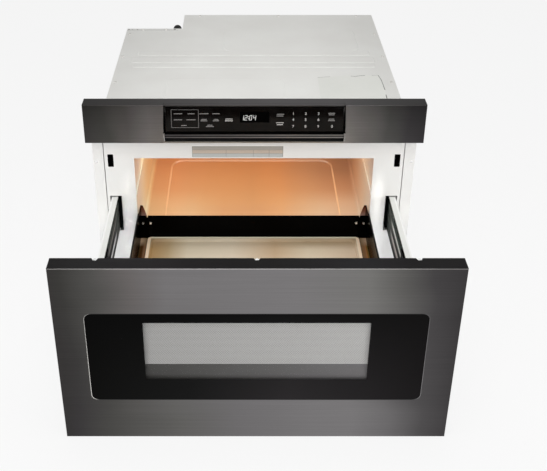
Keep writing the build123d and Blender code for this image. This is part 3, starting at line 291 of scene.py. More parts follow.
def coated_steel():
    """Pale coated sheet, a little deeper towards the sides."""
    finish = Finish("coated_steel", "e6e6e2", 0.5)
    tone = finish.cloudy(CLOUD, "e0dfdb", "e5e5e1", detail=4)
    finish.colour(finish.darken(tone, finish.span(finish.outwards(), *SIDE_FADE, *SIDE_TONES)))
    return finish.grained(1.2 * MM, PEEL_DEPTH, 0.45, 0.57)


# Painted shade and light on the front plate, from low to high: white, greyer from the slots up, white
# again under the fascia.
PLATE_SHADE_STOPS = (
    (0.0, "fdfdfc"), (0.2, "fcfcfb"), (0.35, "f6f5f2"), (0.5, "eae9e6"), (0.7, "eaeae8"),
    (0.88, "ebeae8"), (0.97, "ffffff"),
)
PLATE_LOW = 50 * MM
PLATE_HIGH = 316 * MM


def white_paint():
    """White sprayed paint, with painted shade: greyer from the height of the slots upwards, and white
    again just under the fascia, as painted light.
    """
    finish = Finish("white_paint", "f7f7f6", 0.42, Specular_IOR_Level=0.3)
    tone = finish.stops(finish.span(finish.axis("Z"), PLATE_LOW, PLATE_HIGH), PLATE_SHADE_STOPS)
    clouds = finish.noise(CLOUD, detail=4)
    finish.colour(finish.darken(tone, finish.swing(clouds, 0.98, 1.0)))
    return finish.grained(2.5 * MM, PEEL_DEPTH, 0.37, 0.49)


def moulded(name, colour, shade, roughness=0.5, **constants):
    """Moulded plastic with a fine spark-eroded grain."""
    finish = Finish(name, colour, roughness, **constants)
    finish.colour(finish.cloudy(0.04, shade, colour))
    return finish.grained(0.35 * MM, 0.015 * MM, roughness - 0.06, roughness + 0.08)


MARK_GRAIN = 0.6 * MM
MARK_STRETCH = (1, 12, 1)
MARK_DEPTH = 0.01 * MM


def plated(name, colour, shade, cell, roughness=0.3):
    """Zinc or aluminium: crystals of slightly different greys, with fine handling marks."""
    finish = Finish(name, colour, roughness, Metallic=1.0)
    marks = finish.noise(MARK_GRAIN, MARK_STRETCH)
    blend = finish.math("ADD", finish.times(finish.cells(cell), 0.7), finish.times(marks, 0.3))
    finish.colour(finish.mix(finish.span(blend, 0.15, 0.85), shade, colour))
    finish.roughness(finish.span(blend, 0.2, 0.8, roughness - 0.06, roughness + 0.1))
    return finish.bump(marks, MARK_DEPTH)


ARM_FACE = 266 * MM
ARM_BROW = 188.5 * MM
ARM_LEDGE = 119 * MM
TOP_INNER = 255.6 * MM
TOP_OUTER = 264.3 * MM
FLANGE_LOW = ARM_BROW + 0.2 * MM
STRIP_EDGE = (TOP_OUTER - 0.3 * MM, TOP_OUTER + 0.3 * MM)
WEB_LOW = 127.6 * MM
WEB_HIGH = 179.6 * MM
WEB_FACE = 256 * MM
# Painted highlights and shade on the slides' folds: white where a fold's top catches the light, black
# where the web lies in shade.
LEFT_RACE_LIGHT_AND_SHADE = (
    (0.0, "242220"), (0.17, "242220"), (0.205, "ffffff"), (0.315, "ffffff"), (0.35, "060504"),
    (0.6, "060504"), (0.66, "9a9894"), (0.78, "94928e"), (0.83, "4c4c48"), (1.0, "464843"),
)
RIGHT_RACE_LIGHT_AND_SHADE = (
    (0.0, "2a2826"), (0.17, "3c3a38"), (0.21, "dcd6d2"), (0.33, "dcd6d2"), (0.365, "26221f"),
    (0.6, "2c2a27"), (0.66, "f4f8f4"), (0.77, "f4f8f4"), (0.81, "303a37"), (1.0, "38423f"),
)
RACE_DEPTH = (-40 * MM, -75 * MM)
MOUTH_SHADE_DEPTH = (-20 * MM, 2 * MM)
END_SHADE_DEPTH = (-158 * MM, -164 * MM)


def slide_zinc():
    """Zinc-plated slides: dark green-grey, with painted highlights and painted shade along the folds of
    the web, and painted shade, nearly black, inside the chassis and at the end towards the door.
    """
    finish = Finish("slide_zinc", "5c615c", 0.45, Specular_IOR_Level=0.04)
    _, depth, height = finish.axes()
    web = finish.mix(finish.span(finish.cells(5 * MM), 0.1, 0.9), "3c403a", "565c57")
    race_light_and_shade = finish.sided(finish.span(height, WEB_LOW, WEB_HIGH), LEFT_RACE_LIGHT_AND_SHADE, RIGHT_RACE_LIGHT_AND_SHADE)
    on_web = finish.times(finish.under(finish.outwards(), WEB_FACE), finish.under(height, WEB_HIGH))
    tone = finish.mix(finish.times(on_web, finish.span(depth, *RACE_DEPTH)), web, race_light_and_shade)
    # Painted shade: nearly black inside the chassis and at the end towards the door.
    tone = finish.mix(finish.span(depth, *MOUTH_SHADE_DEPTH), tone, "070a0a")
    finish.colour(finish.mix(finish.span(depth, *END_SHADE_DEPTH), tone, "080706"))
    return finish.bump(finish.noise(MARK_GRAIN, MARK_STRETCH), MARK_DEPTH)


def arm_coat():
    """Pale coated steel with a paler outer strip, and painted shade: a dark strip along the top flange's
    inner edge, and nearly black on its inside under the flange.
    """
    finish = Finish("arm_coat", "f2f2ef", 0.4, Specular_IOR_Level=0.3)
    out, height = finish.outwards(), finish.axis("Z")
    coat = finish.cloudy(0.06, "dedfdb", "e4e5e1")
    coat = finish.mix(finish.span(out, *STRIP_EDGE), coat, "eeeeec")
    # Painted shade along the flange's inner edge and on the inside under the flange.
    lip = finish.times(finish.over(height, FLANGE_LOW), finish.under(out, TOP_INNER))
    coat = finish.mix(lip, coat, "4a4c46")
    within = finish.times(finish.under(out, ARM_FACE + 0.05 * MM), finish.under(height, FLANGE_LOW))
    dark = finish.mix(finish.under(height, ARM_LEDGE), "090806", "1c1b19")
    finish.colour(finish.mix(within, coat, dark))
    return finish.bump(finish.noise(1.5 * MM, detail=2), 0.015 * MM)


FRONT_HALF = 0.3032
DOOR_TOP = 313.7 * MM
DOOR_FRONT = -417.6 * MM
DOOR_REAR = -389.6 * MM
FASCIA_TOP = 392.0 * MM
EDGE = 0.9 * MM
FASCIA_LOW = 317.7 * MM
FASCIA_FRONT = -28.5 * MM
LIP_HIGH = 337 * MM
CONTROL_HALF = 160 * MM
# Painted reflections on the door's front, the fascia's front and their top faces: lighter in the middle,
# darker towards the ends.
DOOR_HIGH_REFLECTION_STOPS = (
    (0.0, "3a3837"), (0.03, "3d3c3a"), (0.105, "535250"), (0.187, "6b6766"), (0.268, "787677"),
    (0.43, "7a7879"), (0.6, "7c7a7b"), (0.756, "787775"), (0.837, "61605e"), (0.919, "474546"),
    (1.0, "3c3a3b"),
)
DOOR_LOW_REFLECTION_STOPS = (
    (0.0, "373535"), (0.03, "3b393a"), (0.12, "4a4947"), (0.3, "636260"), (0.48, "727071"),
    (0.66, "7b797a"), (0.745, "7c7a7b"), (0.835, "6f6d6e"), (0.924, "525051"), (1.0, "403e3f"),
)
FASCIA_REFLECTION_STOPS = (
    (0.0, "333131"), (0.073, "454441"), (0.132, "64605e"), (0.2, "959190"), (0.5, "b8b3b1"),
    (0.777, "a8a5a4"), (0.836, "807d7b"), (0.894, "535250"), (0.953, "3b393a"), (1.0, "323031"),
)
ROOF_REFLECTION_STOPS = (
    (0.0, "3b3939"), (0.14, "524f4d"), (0.34, "6f6c6c"), (0.55, "7a7778"), (0.72, "767374"),
    (0.84, "656362"), (0.93, "535150"), (1.0, "434141"),
)
# Painted light and shade on the control lip: pale bands where its folds catch the light, black bands in
# the groove and where a fold lies in shade, lighter towards the right.
LIP_HIGHLIGHT_STOPS = ((0.28, "b4b2b8"), (0.43, "cdcad0"), (0.56, "ecebf0"), (0.72, "ffffff"))
LIP_LOW = 327 * MM
LIP_LIGHT_AND_SHADE_BANDS = (
    (0.0, "0c0c0c"), (0.07, "161616"), (0.13, "d4d4d4"), (0.25, "d4d4d4"), (0.31, "272727"),
    (0.4, "272727"), (0.45, "8f8f8f"), (0.56, "959595"), (0.6, "a3a3a3"), (0.77, "9c9c9c"),
    (0.82, "101010"), (1.0, "080808"),
)
BROW_LOW = 390.9 * MM
SILL_HIGH = 320.9 * MM
# Painted highlight on the thin sill under the lip.
SILL = "c6c3be"
DOOR_ROOF_REFLECTION_STOPS = (
    (0.0, "3d3b3b"), (0.12, "484647"), (0.22, "464445"), (0.34, "3d3b3b"), (0.45, "393737"),
    (0.55, "3a3838"), (0.66, "3f3d3e"), (0.77, "444345"), (0.88, "393738"), (1.0, "383637"),
)
EDGE_TONE = "c4c1bf"
DOOR_FADE = (0.02, 0.28)
FRONT_REFLECTION_TONES = (1.35, 0.6)
BROW_SHADE_TONE = 0.8
EDGE_TONE_SHARE = 0.35
WANDER = 0.02


def black_stainless():
    """Dark steel brushed sideways, with painted reflections, lighter in its middle, where it is seen
    square on, and painted light and shade on the control lip and the fascia's edges.
    """
    brushing = {"Metallic": 1.0, "Anisotropic": 0.5, "Anisotropic_Rotation": 0.25}
    finish = Finish("black_stainless", "8a8888", 0.34, **brushing)
    finish.feed("Tangent", finish.add("ShaderNodeCombineXYZ", {0: 1.0}).outputs[0])
    brushed = finish.noise(0.35 * MM, stretch=(240, 1, 1), detail=5, rough=0.7)
    streaks = finish.noise(2.2 * MM, stretch=(130, 1, 1), detail=3)
    clouds = finish.noise(0.12, stretch=(1.6, 1, 1), detail=2)
    place = finish.math("ADD", finish.across(FRONT_HALF), finish.swing(clouds, -WANDER, WANDER))
    height = finish.axis("Z")
    low, high = [finish.stops(place, colours) for colours in (DOOR_LOW_REFLECTION_STOPS, DOOR_HIGH_REFLECTION_STOPS)]
    door = finish.mix(finish.span(height, *DOOR_FADE), low, high)
    door_roof = finish.inside(Y=(DOOR_FRONT + EDGE, DOOR_REAR + MM), Z=(DOOR_TOP - EDGE, DOOR_TOP + MM))
    door = finish.mix(door_roof, door, finish.stops(place, DOOR_ROOF_REFLECTION_STOPS))
    roof = finish.stops(place, ROOF_REFLECTION_STOPS)
    on_front = finish.under(finish.axis("Y"), FASCIA_FRONT + EDGE)
    # Painted reflection: the fascia's front darker towards its top.
    shading = finish.span(height, SILL_HIGH, FASCIA_TOP, *FRONT_REFLECTION_TONES)
    front = finish.darken(finish.stops(place, FASCIA_REFLECTION_STOPS), shading)
    fascia = finish.mix(on_front, roof, front)
    # Painted shade on the fascia's top front edge, a painted highlight on the sill under the lip, and
    # painted light and shade on the lip.
    brow = finish.inside(Z=(BROW_LOW, FASCIA_TOP + MM), Y=(FASCIA_FRONT - MM, FASCIA_FRONT + EDGE))
    fascia = finish.mix(brow, fascia, finish.darken(roof, BROW_SHADE_TONE))
    sill = finish.inside(X=(-CONTROL_HALF, CONTROL_HALF), Z=(FASCIA_LOW, SILL_HIGH))
    fascia = finish.mix(sill, fascia, SILL)
    lip = finish.inside(X=(-CONTROL_HALF, CONTROL_HALF), Z=(SILL_HIGH, LIP_HIGH))
    bands = finish.stops(finish.span(height, LIP_LOW, LIP_HIGH), LIP_LIGHT_AND_SHADE_BANDS)
    fascia = finish.mix(lip, fascia, finish.multiply(finish.stops(place, LIP_HIGHLIGHT_STOPS), bands))
    steel = finish.mix(finish.over(height, (DOOR_TOP + FASCIA_LOW) / 2), door, fascia)
    lines = finish.times(finish.span(brushed, 0.25, 0.75, 0.9, 1.1), finish.swing(streaks, 0.95, 1.05))
    # Paler along the door's front top edge.
    front_top_edge = finish.inside(Z=(DOOR_TOP - EDGE, DOOR_TOP + MM), Y=(DOOR_FRONT - MM, DOOR_FRONT + EDGE))
    finish.colour(finish.mix(finish.times(front_top_edge, EDGE_TONE_SHARE), finish.darken(steel, lines), EDGE_TONE))
    finish.roughness(finish.swing(brushed, 0.28, 0.42))
    return finish.bump(brushed, 0.006 * MM)


GLASS_FACE = -417.2 * MM
PANEL_HALF = 257 * MM
PANEL_LOW = 65.4 * MM
PANEL_HIGH = 233.6 * MM
PANEL_RADIUS = 11 * MM
WINDOW_HALF = 170 * MM
WINDOW_LOW = 107 * MM
WINDOW_HIGH = 216 * MM
STRIP_TOP = 134.2 * MM
HOLE_PITCH = 2.6 * MM
HOLE_SHARE = 0.30
GLASS_CLEARNESS = 0.92
# Painted reflection on the door's glass, for its lower and its upper part.
GLASS_LOW_REFLECTION_STOPS = ((0.0, "050504"), (0.3, "121212"), (0.6, "262425"), (0.85, "1e1c1d"), (1.0, "151314"))
GLASS_HIGH_REFLECTION_STOPS = ((0.0, "010101"), (0.3, "040404"), (0.6, "0c0c0c"), (1.0, "0b0a0a"))


def door_glass():
    """Black printed glass, clear only over the window, with a painted reflection that is lighter in its
    lower part, right of the middle.
    """
    finish = Finish("black_glass", "0b0b0b", 0.06, Specular_IOR_Level=0.035)
    finish.smeared(0.05, 0.05, 0.11)
    _, depth, height = finish.axes()
    place = finish.across(PANEL_HALF)
    low, high = [finish.stops(place, colours) for colours in (GLASS_LOW_REFLECTION_STOPS, GLASS_HIGH_REFLECTION_STOPS)]
    finish.colour(finish.mix(finish.span(height, PANEL_LOW, PANEL_HIGH), low, high))
    window = finish.inside(X=(-WINDOW_HALF, WINDOW_HALF), Z=(WINDOW_LOW, WINDOW_HIGH))
    clear = finish.math("MAXIMUM", window, finish.over(depth, GLASS_FACE + MM))
    return finish.feed("Alpha", finish.span(clear, 0.0, 1.0, 1.0, 1.0 - GLASS_CLEARNESS))


def screen():
    """The sheet behind the window: punched all over above a plain lower strip."""
    finish = Finish("screen_paint", "a8a8a5", 0.5)
    across, _, height = finish.axes()
    place = finish.across(WINDOW_HALF)
    light = finish.stops(place, ((0.0, "b3b2b0"), (1.0, "cac9c7")))
    dark = finish.stops(place, ((0.0, "3a3937"), (0.25, "4a4947"), (1.0, "716f70")))
    row = finish.math("DIVIDE", height, HOLE_PITCH * math.sqrt(3) / 2)
    odd = finish.math("MODULO", finish.math("FLOOR", row), 2.0)
    step = finish.math("ADD", finish.math("DIVIDE", across, HOLE_PITCH), finish.times(odd, 0.5))
    squares = []
    for count in (step, row):
        from_centre = finish.math("SUBTRACT", finish.math("FRACT", count), 0.5)
        squares.append(finish.math("POWER", from_centre, 2.0))
    hole = finish.span(finish.math("ADD", *squares), HOLE_SHARE**2 * 0.8, HOLE_SHARE**2 * 1.2, 1.0, 0.0)
    punched = finish.mix(finish.times(hole, 0.55), light, "3c3c3a")
    return finish.colour(finish.mix(finish.over(height, STRIP_TOP), dark, punched))


CAVITY_HALF = 221 * MM
CAVITY_FLOOR = 84 * MM
PAD_DROP = 3 * MM
CAVITY_TOP = 272.2 * MM
# Painted light and shade in the cavity: the walls paler and brightest at their crease, deeper towards the
# back, bands across the floor, shade in the rear right and a highlight on the pad's slope.
WALL_LIGHT_RISE = (
    (0.0, "d8d8d8"), (0.12, "e4e4e4"), (0.3, "dedede"), (0.52, "e2e2e2"), (0.6, "f0f0f0"),
    (0.68, "fafafa"), (0.75, "f0f0f2"), (1.0, "f8f8ff"),
)
LEFT_DEPTH_SHADE = (
    (0.0, "f9fff4"), (0.14, "f4f8ea"), (0.3, "fffbda"), (0.46, "ffe9b5"), (0.6, "fcd89c"),
    (0.85, "ffd293"), (1.0, "f0bc80"),
)
RIGHT_DEPTH_SHADE = (
    (0.0, "f3f3ed"), (0.14, "eee9d6"), (0.2, "ece0c8"), (0.38, "e6cbab"), (0.58, "deb189"),
    (0.75, "d39e73"), (0.95, "b88059"),
)
CAVITY_REAR = 0.36
FLOOR_DEPTH = (0.06, 0.37)
NEAR_LEFT, NEAR_RIGHT = (-0.12, -0.06), (0.02, 0.14)
REAR_RIGHT_SHADE_ACROSS, REAR_RIGHT_SHADE_DEPTH, REAR_RIGHT_SHADE_SHARE = (0.03, 0.2), (0.16, 0.3), 0.7
SLOPE_Z = (CAVITY_FLOOR - PAD_DROP + 0.15 * MM, CAVITY_FLOOR - 0.15 * MM)
SLOPE_DEPTH, SLOPE_HIGHLIGHT_SHARES = (0.29, 0.33), (0.45, 0.1)
WALL_FOOT = (CAVITY_HALF - 9 * MM, CAVITY_HALF - 2 * MM)
ACROSS_LIGHT_STOPS = (
    (0.03, "fffff6"), (0.125, "fcfaf0"), (0.2, "eeedde"), (0.28, "e6e2cc"), (0.36, "e2dcc4"),
    (0.5, "dcd4ba"), (0.64, "e8dcbe"), (0.7, "e6dfca"), (0.8, "eaeae0"), (0.88, "f4f4f2"),
    (0.97, "f8faff"),
)


def cavity_enamel():
    """Warm glossy enamel with painted light and shade: deeper at the back and in the rear right, paler on
    the walls with a bright line at their crease, and a painted highlight on the pad's slope.
    """
    finish = Finish("cavity_enamel", "d68c56", 0.3, Coat_Weight=0.3, Coat_Roughness=0.15)
    across, depth, height = finish.axes()
    inward = finish.span(depth, *FLOOR_DEPTH)
    near = finish.mix(finish.span(across, *NEAR_LEFT), "d2b28a", "cb9a6c")
    near = finish.mix(finish.span(across, *NEAR_RIGHT), near, "d6bd9e")
    far = finish.stops(inward, ((0.3, "c8986e"), (1.0, "c58557")))
    floor = finish.mix(finish.span(inward, 0.0, 0.5), near, far)
    bands = finish.stops(finish.across(CAVITY_HALF), ACROSS_LIGHT_STOPS)
    rear_right_shade = finish.times(finish.span(across, *REAR_RIGHT_SHADE_ACROSS), finish.span(depth, *REAR_RIGHT_SHADE_DEPTH), REAR_RIGHT_SHADE_SHARE)
    floor = finish.mix(rear_right_shade, finish.multiply(floor, bands), "8e6647")
    # Painted highlight on the pad's slope.
    slope = finish.times(finish.inside(Z=SLOPE_Z), finish.span(depth, *SLOPE_DEPTH, *SLOPE_HIGHLIGHT_SHARES))
    floor = finish.mix(slope, floor, "f2c592")
    rise = finish.stops(finish.span(height, CAVITY_FLOOR, CAVITY_TOP), WALL_LIGHT_RISE)
    sides = finish.sided(finish.span(depth, 0.0, CAVITY_REAR), LEFT_DEPTH_SHADE, RIGHT_DEPTH_SHADE)
    wall = finish.multiply(rise, sides)
    tone = finish.mix(finish.span(finish.outwards(), *WALL_FOOT), floor, wall)
    speckle = finish.noise(0.9 * MM, detail=2)
    finish.colour(finish.darken(tone, finish.swing(speckle, 0.97, 1.03)))
    return finish.bump(speckle, 0.012 * MM)


TRAY_HALF = 203.5 * MM
TRAY_REAR = 2 * MM
TRAY_BROW = 98.9 * MM
RIM_WIDTH = 6.5 * MM
BROW_WIDTH = 12 * MM
# Painted reflection and shade on the tray: browner towards the sides, darker in patches at the rear, and
# a painted highlight on the rim.
REAR_BAND = (-36 * MM, -12 * MM)
REAR_SHADE_RIGHT, REAR_SHADE_LEFT = (0.02, 0.1, 0.3, 1.0), (-0.16, -0.185)
REAR_SHADE_SHARE = 0.8
TRAY_REFLECTION_STOPS = (
    (0.0, "a8834f"), (0.1, "b09a76"), (0.19, "cfc4ac"), (0.4, "d2c6b0"), (0.6, "bfa686"),
    (0.75, "d2c4aa"), (1.0, "ccb69c"),
)


def ceramic():
    """Beige glass-ceramic with a satin glaze and very fine specks, with painted reflections browner
    towards the sides, painted shade in patches at the rear, and a painted highlight on the rim.
    """
    gloss = {"Specular_IOR_Level": 0.3, "Coat_Weight": 0.1, "Coat_Roughness": 0.15}
    finish = Finish("tray_ceramic", "c0b090", 0.32, **gloss)
    across, depth, height = finish.axes()
    inner = finish.stops(finish.across(TRAY_HALF), TRAY_REFLECTION_STOPS)
    under = finish.math("MAXIMUM", *[finish.span(across, *sides) for sides in (REAR_SHADE_RIGHT, REAR_SHADE_LEFT)])
    inner = finish.mix(finish.times(finish.span(depth, *REAR_BAND), under, REAR_SHADE_SHARE), inner, "a08866")
    from_side = finish.math("SUBTRACT", TRAY_HALF, finish.outwards())
    from_edge = finish.math("MINIMUM", from_side, finish.math("SUBTRACT", TRAY_REAR, depth))
    # Painted highlight on the rim.
    rim = finish.times(finish.over(height, TRAY_BROW), finish.span(from_edge, RIM_WIDTH, RIM_WIDTH - MM))
    brow = finish.mix(finish.span(from_side, 0.0, BROW_WIDTH), "f6dabc", "dcd6bc")
    specks = finish.noise(0.7 * MM, detail=2)
    speckling = finish.span(specks, 0.35, 0.65, 0.96, 1.03)
    finish.colour(finish.darken(finish.mix(rim, inner, brow), speckling))
    return finish.bump(specks, 0.01 * MM)


def control_glass():
    """Black glass, with faint smears."""
    gloss = {"Specular_IOR_Level": 0.3, "Coat_Weight": 0.15, "Coat_Roughness": 0.06}
    finish = Finish("control_black", "080605", 0.1, **gloss)
    finish.smeared(0.03, 0.07, 0.15)
    return finish.bump(finish.noise(3 * MM, detail=2), 0.01 * MM)


LEDGE = 97.5 * MM
LEDGE_INNER = 204 * MM
BASKET_HALF = 217.5 * MM
# Painted reflections of the warm cavity on the basket's ledges and the tails of its side walls.
LEFT_LEDGE_REFLECTION = (
    (0.03, "6a553c"), (0.15, "74553c"), (0.27, "785a42"), (0.4, "684a33"), (0.52, "4c301a"),
    (0.64, "42260f"), (0.76, "412a12"), (0.9, "3e311b"),
)
RIGHT_LEDGE_REFLECTION = (
    (0.03, "4b3c29"), (0.15, "5a3925"), (0.27, "583519"), (0.4, "5d371b"), (0.52, "6a3a14"),
    (0.64, "80471c"), (0.76, "825223"), (0.9, "61512b"),
)
TAIL_REAR = 26 * MM
TAIL_LOW = 132 * MM
TAIL_HIGH = 155 * MM
TAIL_REFLECTION_STOPS = ((0.0, "b08a7a"), (0.4, "8f5c48"), (0.8, "6a3824"), (1.0, "2e1208"))
LEDGE_REAR = (-30 * MM, -12 * MM)
LEDGE_Z = (LEDGE - 0.3 * MM, LEDGE + 0.3 * MM)
GLOW_FADE, GLOW_ACROSS, GLOW_SHARE = (0.9, 0.4), (0.05, 0.1), 0.35


def basket_paint():
    """Gloss black, with painted reflections of the warm cavity on the ledges and on the side walls'
    tails.
    """
    finish = Finish("basket_paint", "010101", 0.2, Specular_IOR_Level=0.03)
    across, depth, height = finish.axes()
    out = finish.outwards()
    outwards = finish.span(out, LEDGE_INNER, BASKET_HALF)
    shine = finish.sided(outwards, LEFT_LEDGE_REFLECTION, RIGHT_LEDGE_REFLECTION)
    right = finish.span(finish.times(across, finish.span(outwards, *GLOW_FADE)), *GLOW_ACROSS)
    shine = finish.mix(finish.times(right, GLOW_SHARE), shine, "9a8060")
    rear = finish.mix(outwards, "6c5a40", "b3977c")
    shine = finish.mix(finish.span(depth, *LEDGE_REAR), shine, rear)
    on_ledge = finish.inside(Z=LEDGE_Z, Y=(DOOR_REAR, 0.0))
    tone = finish.mix(on_ledge, "010101", shine)
    tail = finish.stops(finish.span(height, TAIL_LOW, TAIL_HIGH), TAIL_REFLECTION_STOPS)
    inner_face = finish.times(finish.over(depth, TAIL_REAR), finish.under(out, BASKET_HALF - 0.2 * MM))
    finish.colour(finish.mix(finish.times(inner_face, finish.over(height, TAIL_LOW)), tone, tail))
    finish.smeared(0.03, 0.17, 0.25)
    return finish.bump(finish.noise(3 * MM, detail=2), 0.01 * MM)


def clear_pane():
    """A clear pane."""
    return Finish("clear_pane", "d8dcda", 0.05, Alpha=0.25).smeared(0.04, 0.03, 0.1)


def windings():
    """Varnished steel sheets, one on another."""
    finish = Finish("core_steel", "3a3431", 0.45, Metallic=0.4)
    sheets = finish.noise(0.6 * MM, stretch=(1, 80, 80), detail=1)
    finish.colour(finish.mix(finish.span(sheets, 0.35, 0.65), "2a2421", "4d4540"))
    return finish.bump(sheets, 0.05 * MM)


def circuit_board():
    """Green solder mask with darker tracks."""
    finish = Finish("board", "245a38", 0.4)
    tracks = finish.cells(3 * MM)
    return finish.colour(finish.mix(finish.span(tracks, 0.45, 0.55), "1d4a2d", "2f6b45"))


def make_finishes():
    """One finish for each material slot of the record."""
    made = {
        "white_paint": white_paint(),
        "coated_steel": coated_steel(),
        "cavity_enamel": cavity_enamel(),
        "black_stainless": black_stainless(),
        "black_glass": door_glass(),
        "control_black": control_glass(),
        "screen_paint": screen(),
        "clear_pane": clear_pane(),
        "frame_paint": enamel("frame_paint", "dddedd", "d5d6d5"),
        "basket_paint": basket_paint(),
        "tray_ceramic": ceramic(),
        "zinc": slide_zinc(),
        "arm_zinc": arm_coat(),
        "screw_steel": plated("screw_steel", "f2f1ee", "dcdbd7", 1 * MM, roughness=0.2),
        "black_plastic": moulded("black_plastic", "0a0a0a", "0e0e0e", Specular_IOR_Level=0.15),
        "white_plastic": moulded("white_plastic", "e8e6df", "dedbd2", roughness=0.45),
        "grey_plastic": moulded("grey_plastic", "6a6c6c", "5f6161"),
        "mica": enamel("mica", "cdc8bb", "bfb9aa"),
        "motor_steel": plated("motor_steel", "c2c4c4", "a5a8a8", 4 * MM),
        "core_steel": windings(),
        "aluminium": plated("aluminium", "d5d6d6", "bfc1c1", 9 * MM),
        "board": circuit_board(),
    }
    return {slot: finish.material for slot, finish in made.items()}


def dress(finishes):
    """Gives each solid the finish of its slot in the record, and the cover's screws one of their own."""
    heads = enamel("cover_screw_paint", "d0cfca", "c7c6c1", 0.65, Specular_IOR_Level=0.1).material
    for part in frame["record"]["subparts"]:
        finish = heads if part["node"] == "cover_screws" else finishes[part["material_slot"]]
        for slot in frame["nodes"][part["node"]].material_slots:
            slot.material = finish


# ---------------- stage and light

BACKGROUND = 0.922
FLOOR_REACH = 12.0
FLOOR_GLOW = 0.9
FLOOR_TONE = 0.12
FLOOR_BOUNCE = 0.75
WORLD_LIGHT = 0.52
CEILING_LEVELS = ((0.0, 0.7), (0.34, 0.62), (0.46, 0.3), (0.56, 0.06), (1.0, 0.05))


def make_stage():
    """A large pale floor, which shows as the pale background and keeps a soft shadow."""
    low = cad_box[0][2]
    mesh = bpy.data.meshes.new("floor")
    corners = [(x * FLOOR_REACH, y * FLOOR_REACH, low) for x, y in ((-1, -1), (1, -1), (1, 1), (-1, 1))]
    mesh.from_pydata(corners, [], [(0, 1, 2, 3)])
    floor = place_object("floor", mesh)
    material = bpy.data.materials.new("floor")
    tree = Tree(material)
    tree.nodes.clear()
    shown = tree.add("ShaderNodeEmission", {"Color": grey(BACKGROUND), "Strength": FLOOR_GLOW})
    tones = (FLOOR_TONE, FLOOR_BOUNCE)
    lit, plain = [tree.add("ShaderNodeBsdfDiffuse", {"Color": grey(tone)}) for tone in tones]
    both = tree.add("ShaderNodeAddShader", {0: shown.outputs[0], 1: lit.outputs[0]})
    rays = tree.add("ShaderNodeLightPath").outputs
    seen = rays["Is Camera Ray"]
    for ray in ("Is Glossy Ray", "Is Transmission Ray"):
        seen = tree.add("ShaderNodeMath", {0: seen, 1: rays[ray]}, operation="MAXIMUM").outputs[0]
    chosen = tree.add("ShaderNodeMixShader", {0: seen, 1: plain.outputs[0], 2: both.outputs[0]})
    tree.add("ShaderNodeOutputMaterial", {0: chosen.outputs[0]})
    mesh.materials.append(material)


def make_world():
    """Even pale light from all round, and a dark ceiling that only reflections see."""
    world = bpy.data.worlds.new("studio")
    bpy.context.scene.world = world
    tree = Tree(world)
    light = tree.nodes["Background"]
    light.inputs["Color"].default_value = grey(1.0)
    light.inputs["Strength"].default_value = WORLD_LIGHT
    shown = tree.add("ShaderNodeBackground", {"Color": grey(BACKGROUND)})
    direction = tree.add("ShaderNodeTexCoord").outputs["Generated"]
    height = tree.add("ShaderNodeSeparateXYZ", {0: direction}).outputs["Z"]
    ceiling = tree.ramp(height, [(position, grey(level)) for position, level in CEILING_LEVELS])
    mirrored = tree.add("ShaderNodeBackground", {"Color": ceiling})
    rays = tree.add("ShaderNodeLightPath").outputs
    for ray, other in (("Is Glossy Ray", mirrored), ("Is Camera Ray", shown)):
        light = tree.add("ShaderNodeMixShader", {0: rays[ray], 1: light.outputs[0], 2: other.outputs[0]})
    tree.links.new(light.outputs[0], tree.nodes["World Output"].inputs[0])


def softbox(name, place, aim, width, height, power, spread=180):
    """A rectangular lamp turned towards a point."""
    data = bpy.data.lights.new(name, "AREA")
    data.shape = "RECTANGLE"
    data.size, data.size_y = width, height
    data.energy = power
    data.spread = math.radians(spread)
    lamp = place_object(name, data)
    lamp.location = place
    lamp.rotation_euler = (Vector(aim) - Vector(place)).to_track_quat("-Z", "Y").to_euler()
    lamp.visible_camera = False


# Each lamp's name, place, aim, width, height, power in watts and, if narrow, its spread in degrees.
LAMPS = (
    ("top_light", (0.2, -0.2, 2.6), (0, 0.1, 0.2), 2.4, 2.0, 9),
    ("front_light", (-0.3, -2.7, 2.3), (0, -0.1, 0.15), 2.6, 1.6, 36),
    ("basket_light", (0, -0.4, 0.95), (0, -0.15, 0.1), 0.8, 0.5, 2.2),
    ("oven_light", (0, 0.225, 0.268), (0, 0.225, 0), 0.37, 0.34, 0.92),
)
# The same for the lamps that stand on either side, with x measured outwards.
SIDE_LAMPS = (
    ("side_light", (1.9, -1.6, 0.45), (0.28, 0, 0.12), 1.1, 0.8, 13),
    ("gap_light", (0.234, -0.16, 0.5), (0.234, -0.005, 0.085), 0.012, 0.1, 0.011, 6),
)


def make_lights():
    """All the lamps."""
    for lamp in LAMPS:
        softbox(*lamp)
    for side in (-1, 1):
        for name, (x, *place), (aim_x, *aim), *rest in SIDE_LAMPS:
            softbox(name, (side * x, *place), (side * aim_x, *aim), *rest)


# ---------------- pieces


def piece(name, vertices, faces, finish, body, slot):
    """A mesh in the row frame that moves with a body."""
    mesh = bpy.data.meshes.new(name)
    mesh.from_pydata([tuple(v) for v in vertices], [], faces)
    mesh.validate()
    mesh.update()
    mesh.materials.append(finish)
    made = place_object(name, mesh)
    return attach(made, body)


BOX_FACES = ((0, 1, 2, 3), (4, 7, 6, 5), (0, 4, 5, 1), (1, 5, 6, 2), (2, 6, 7, 3), (3, 7, 4, 0))


def join(parts):
    """Several (vertices, faces) meshes as one."""
    vertices, faces = [], []
    for more_vertices, more_faces in parts:
        base = len(vertices)
        vertices += more_vertices
        faces += [tuple(base + index for index in face) for face in more_faces]
    return vertices, faces


def plates(name, groups, finish, slot, body="chassis"):
    """A piece made of closed six-sided shapes, each given as its eight corners."""
    return piece(name, *join([(corners, BOX_FACES) for corners in groups]), finish, body, slot)


def upright(outline, y_span):
    """The eight corners of a four-sided plate that faces the front, in millimetres."""
    return [(x * MM, y * MM, z * MM) for y in y_span for x, z in outline]


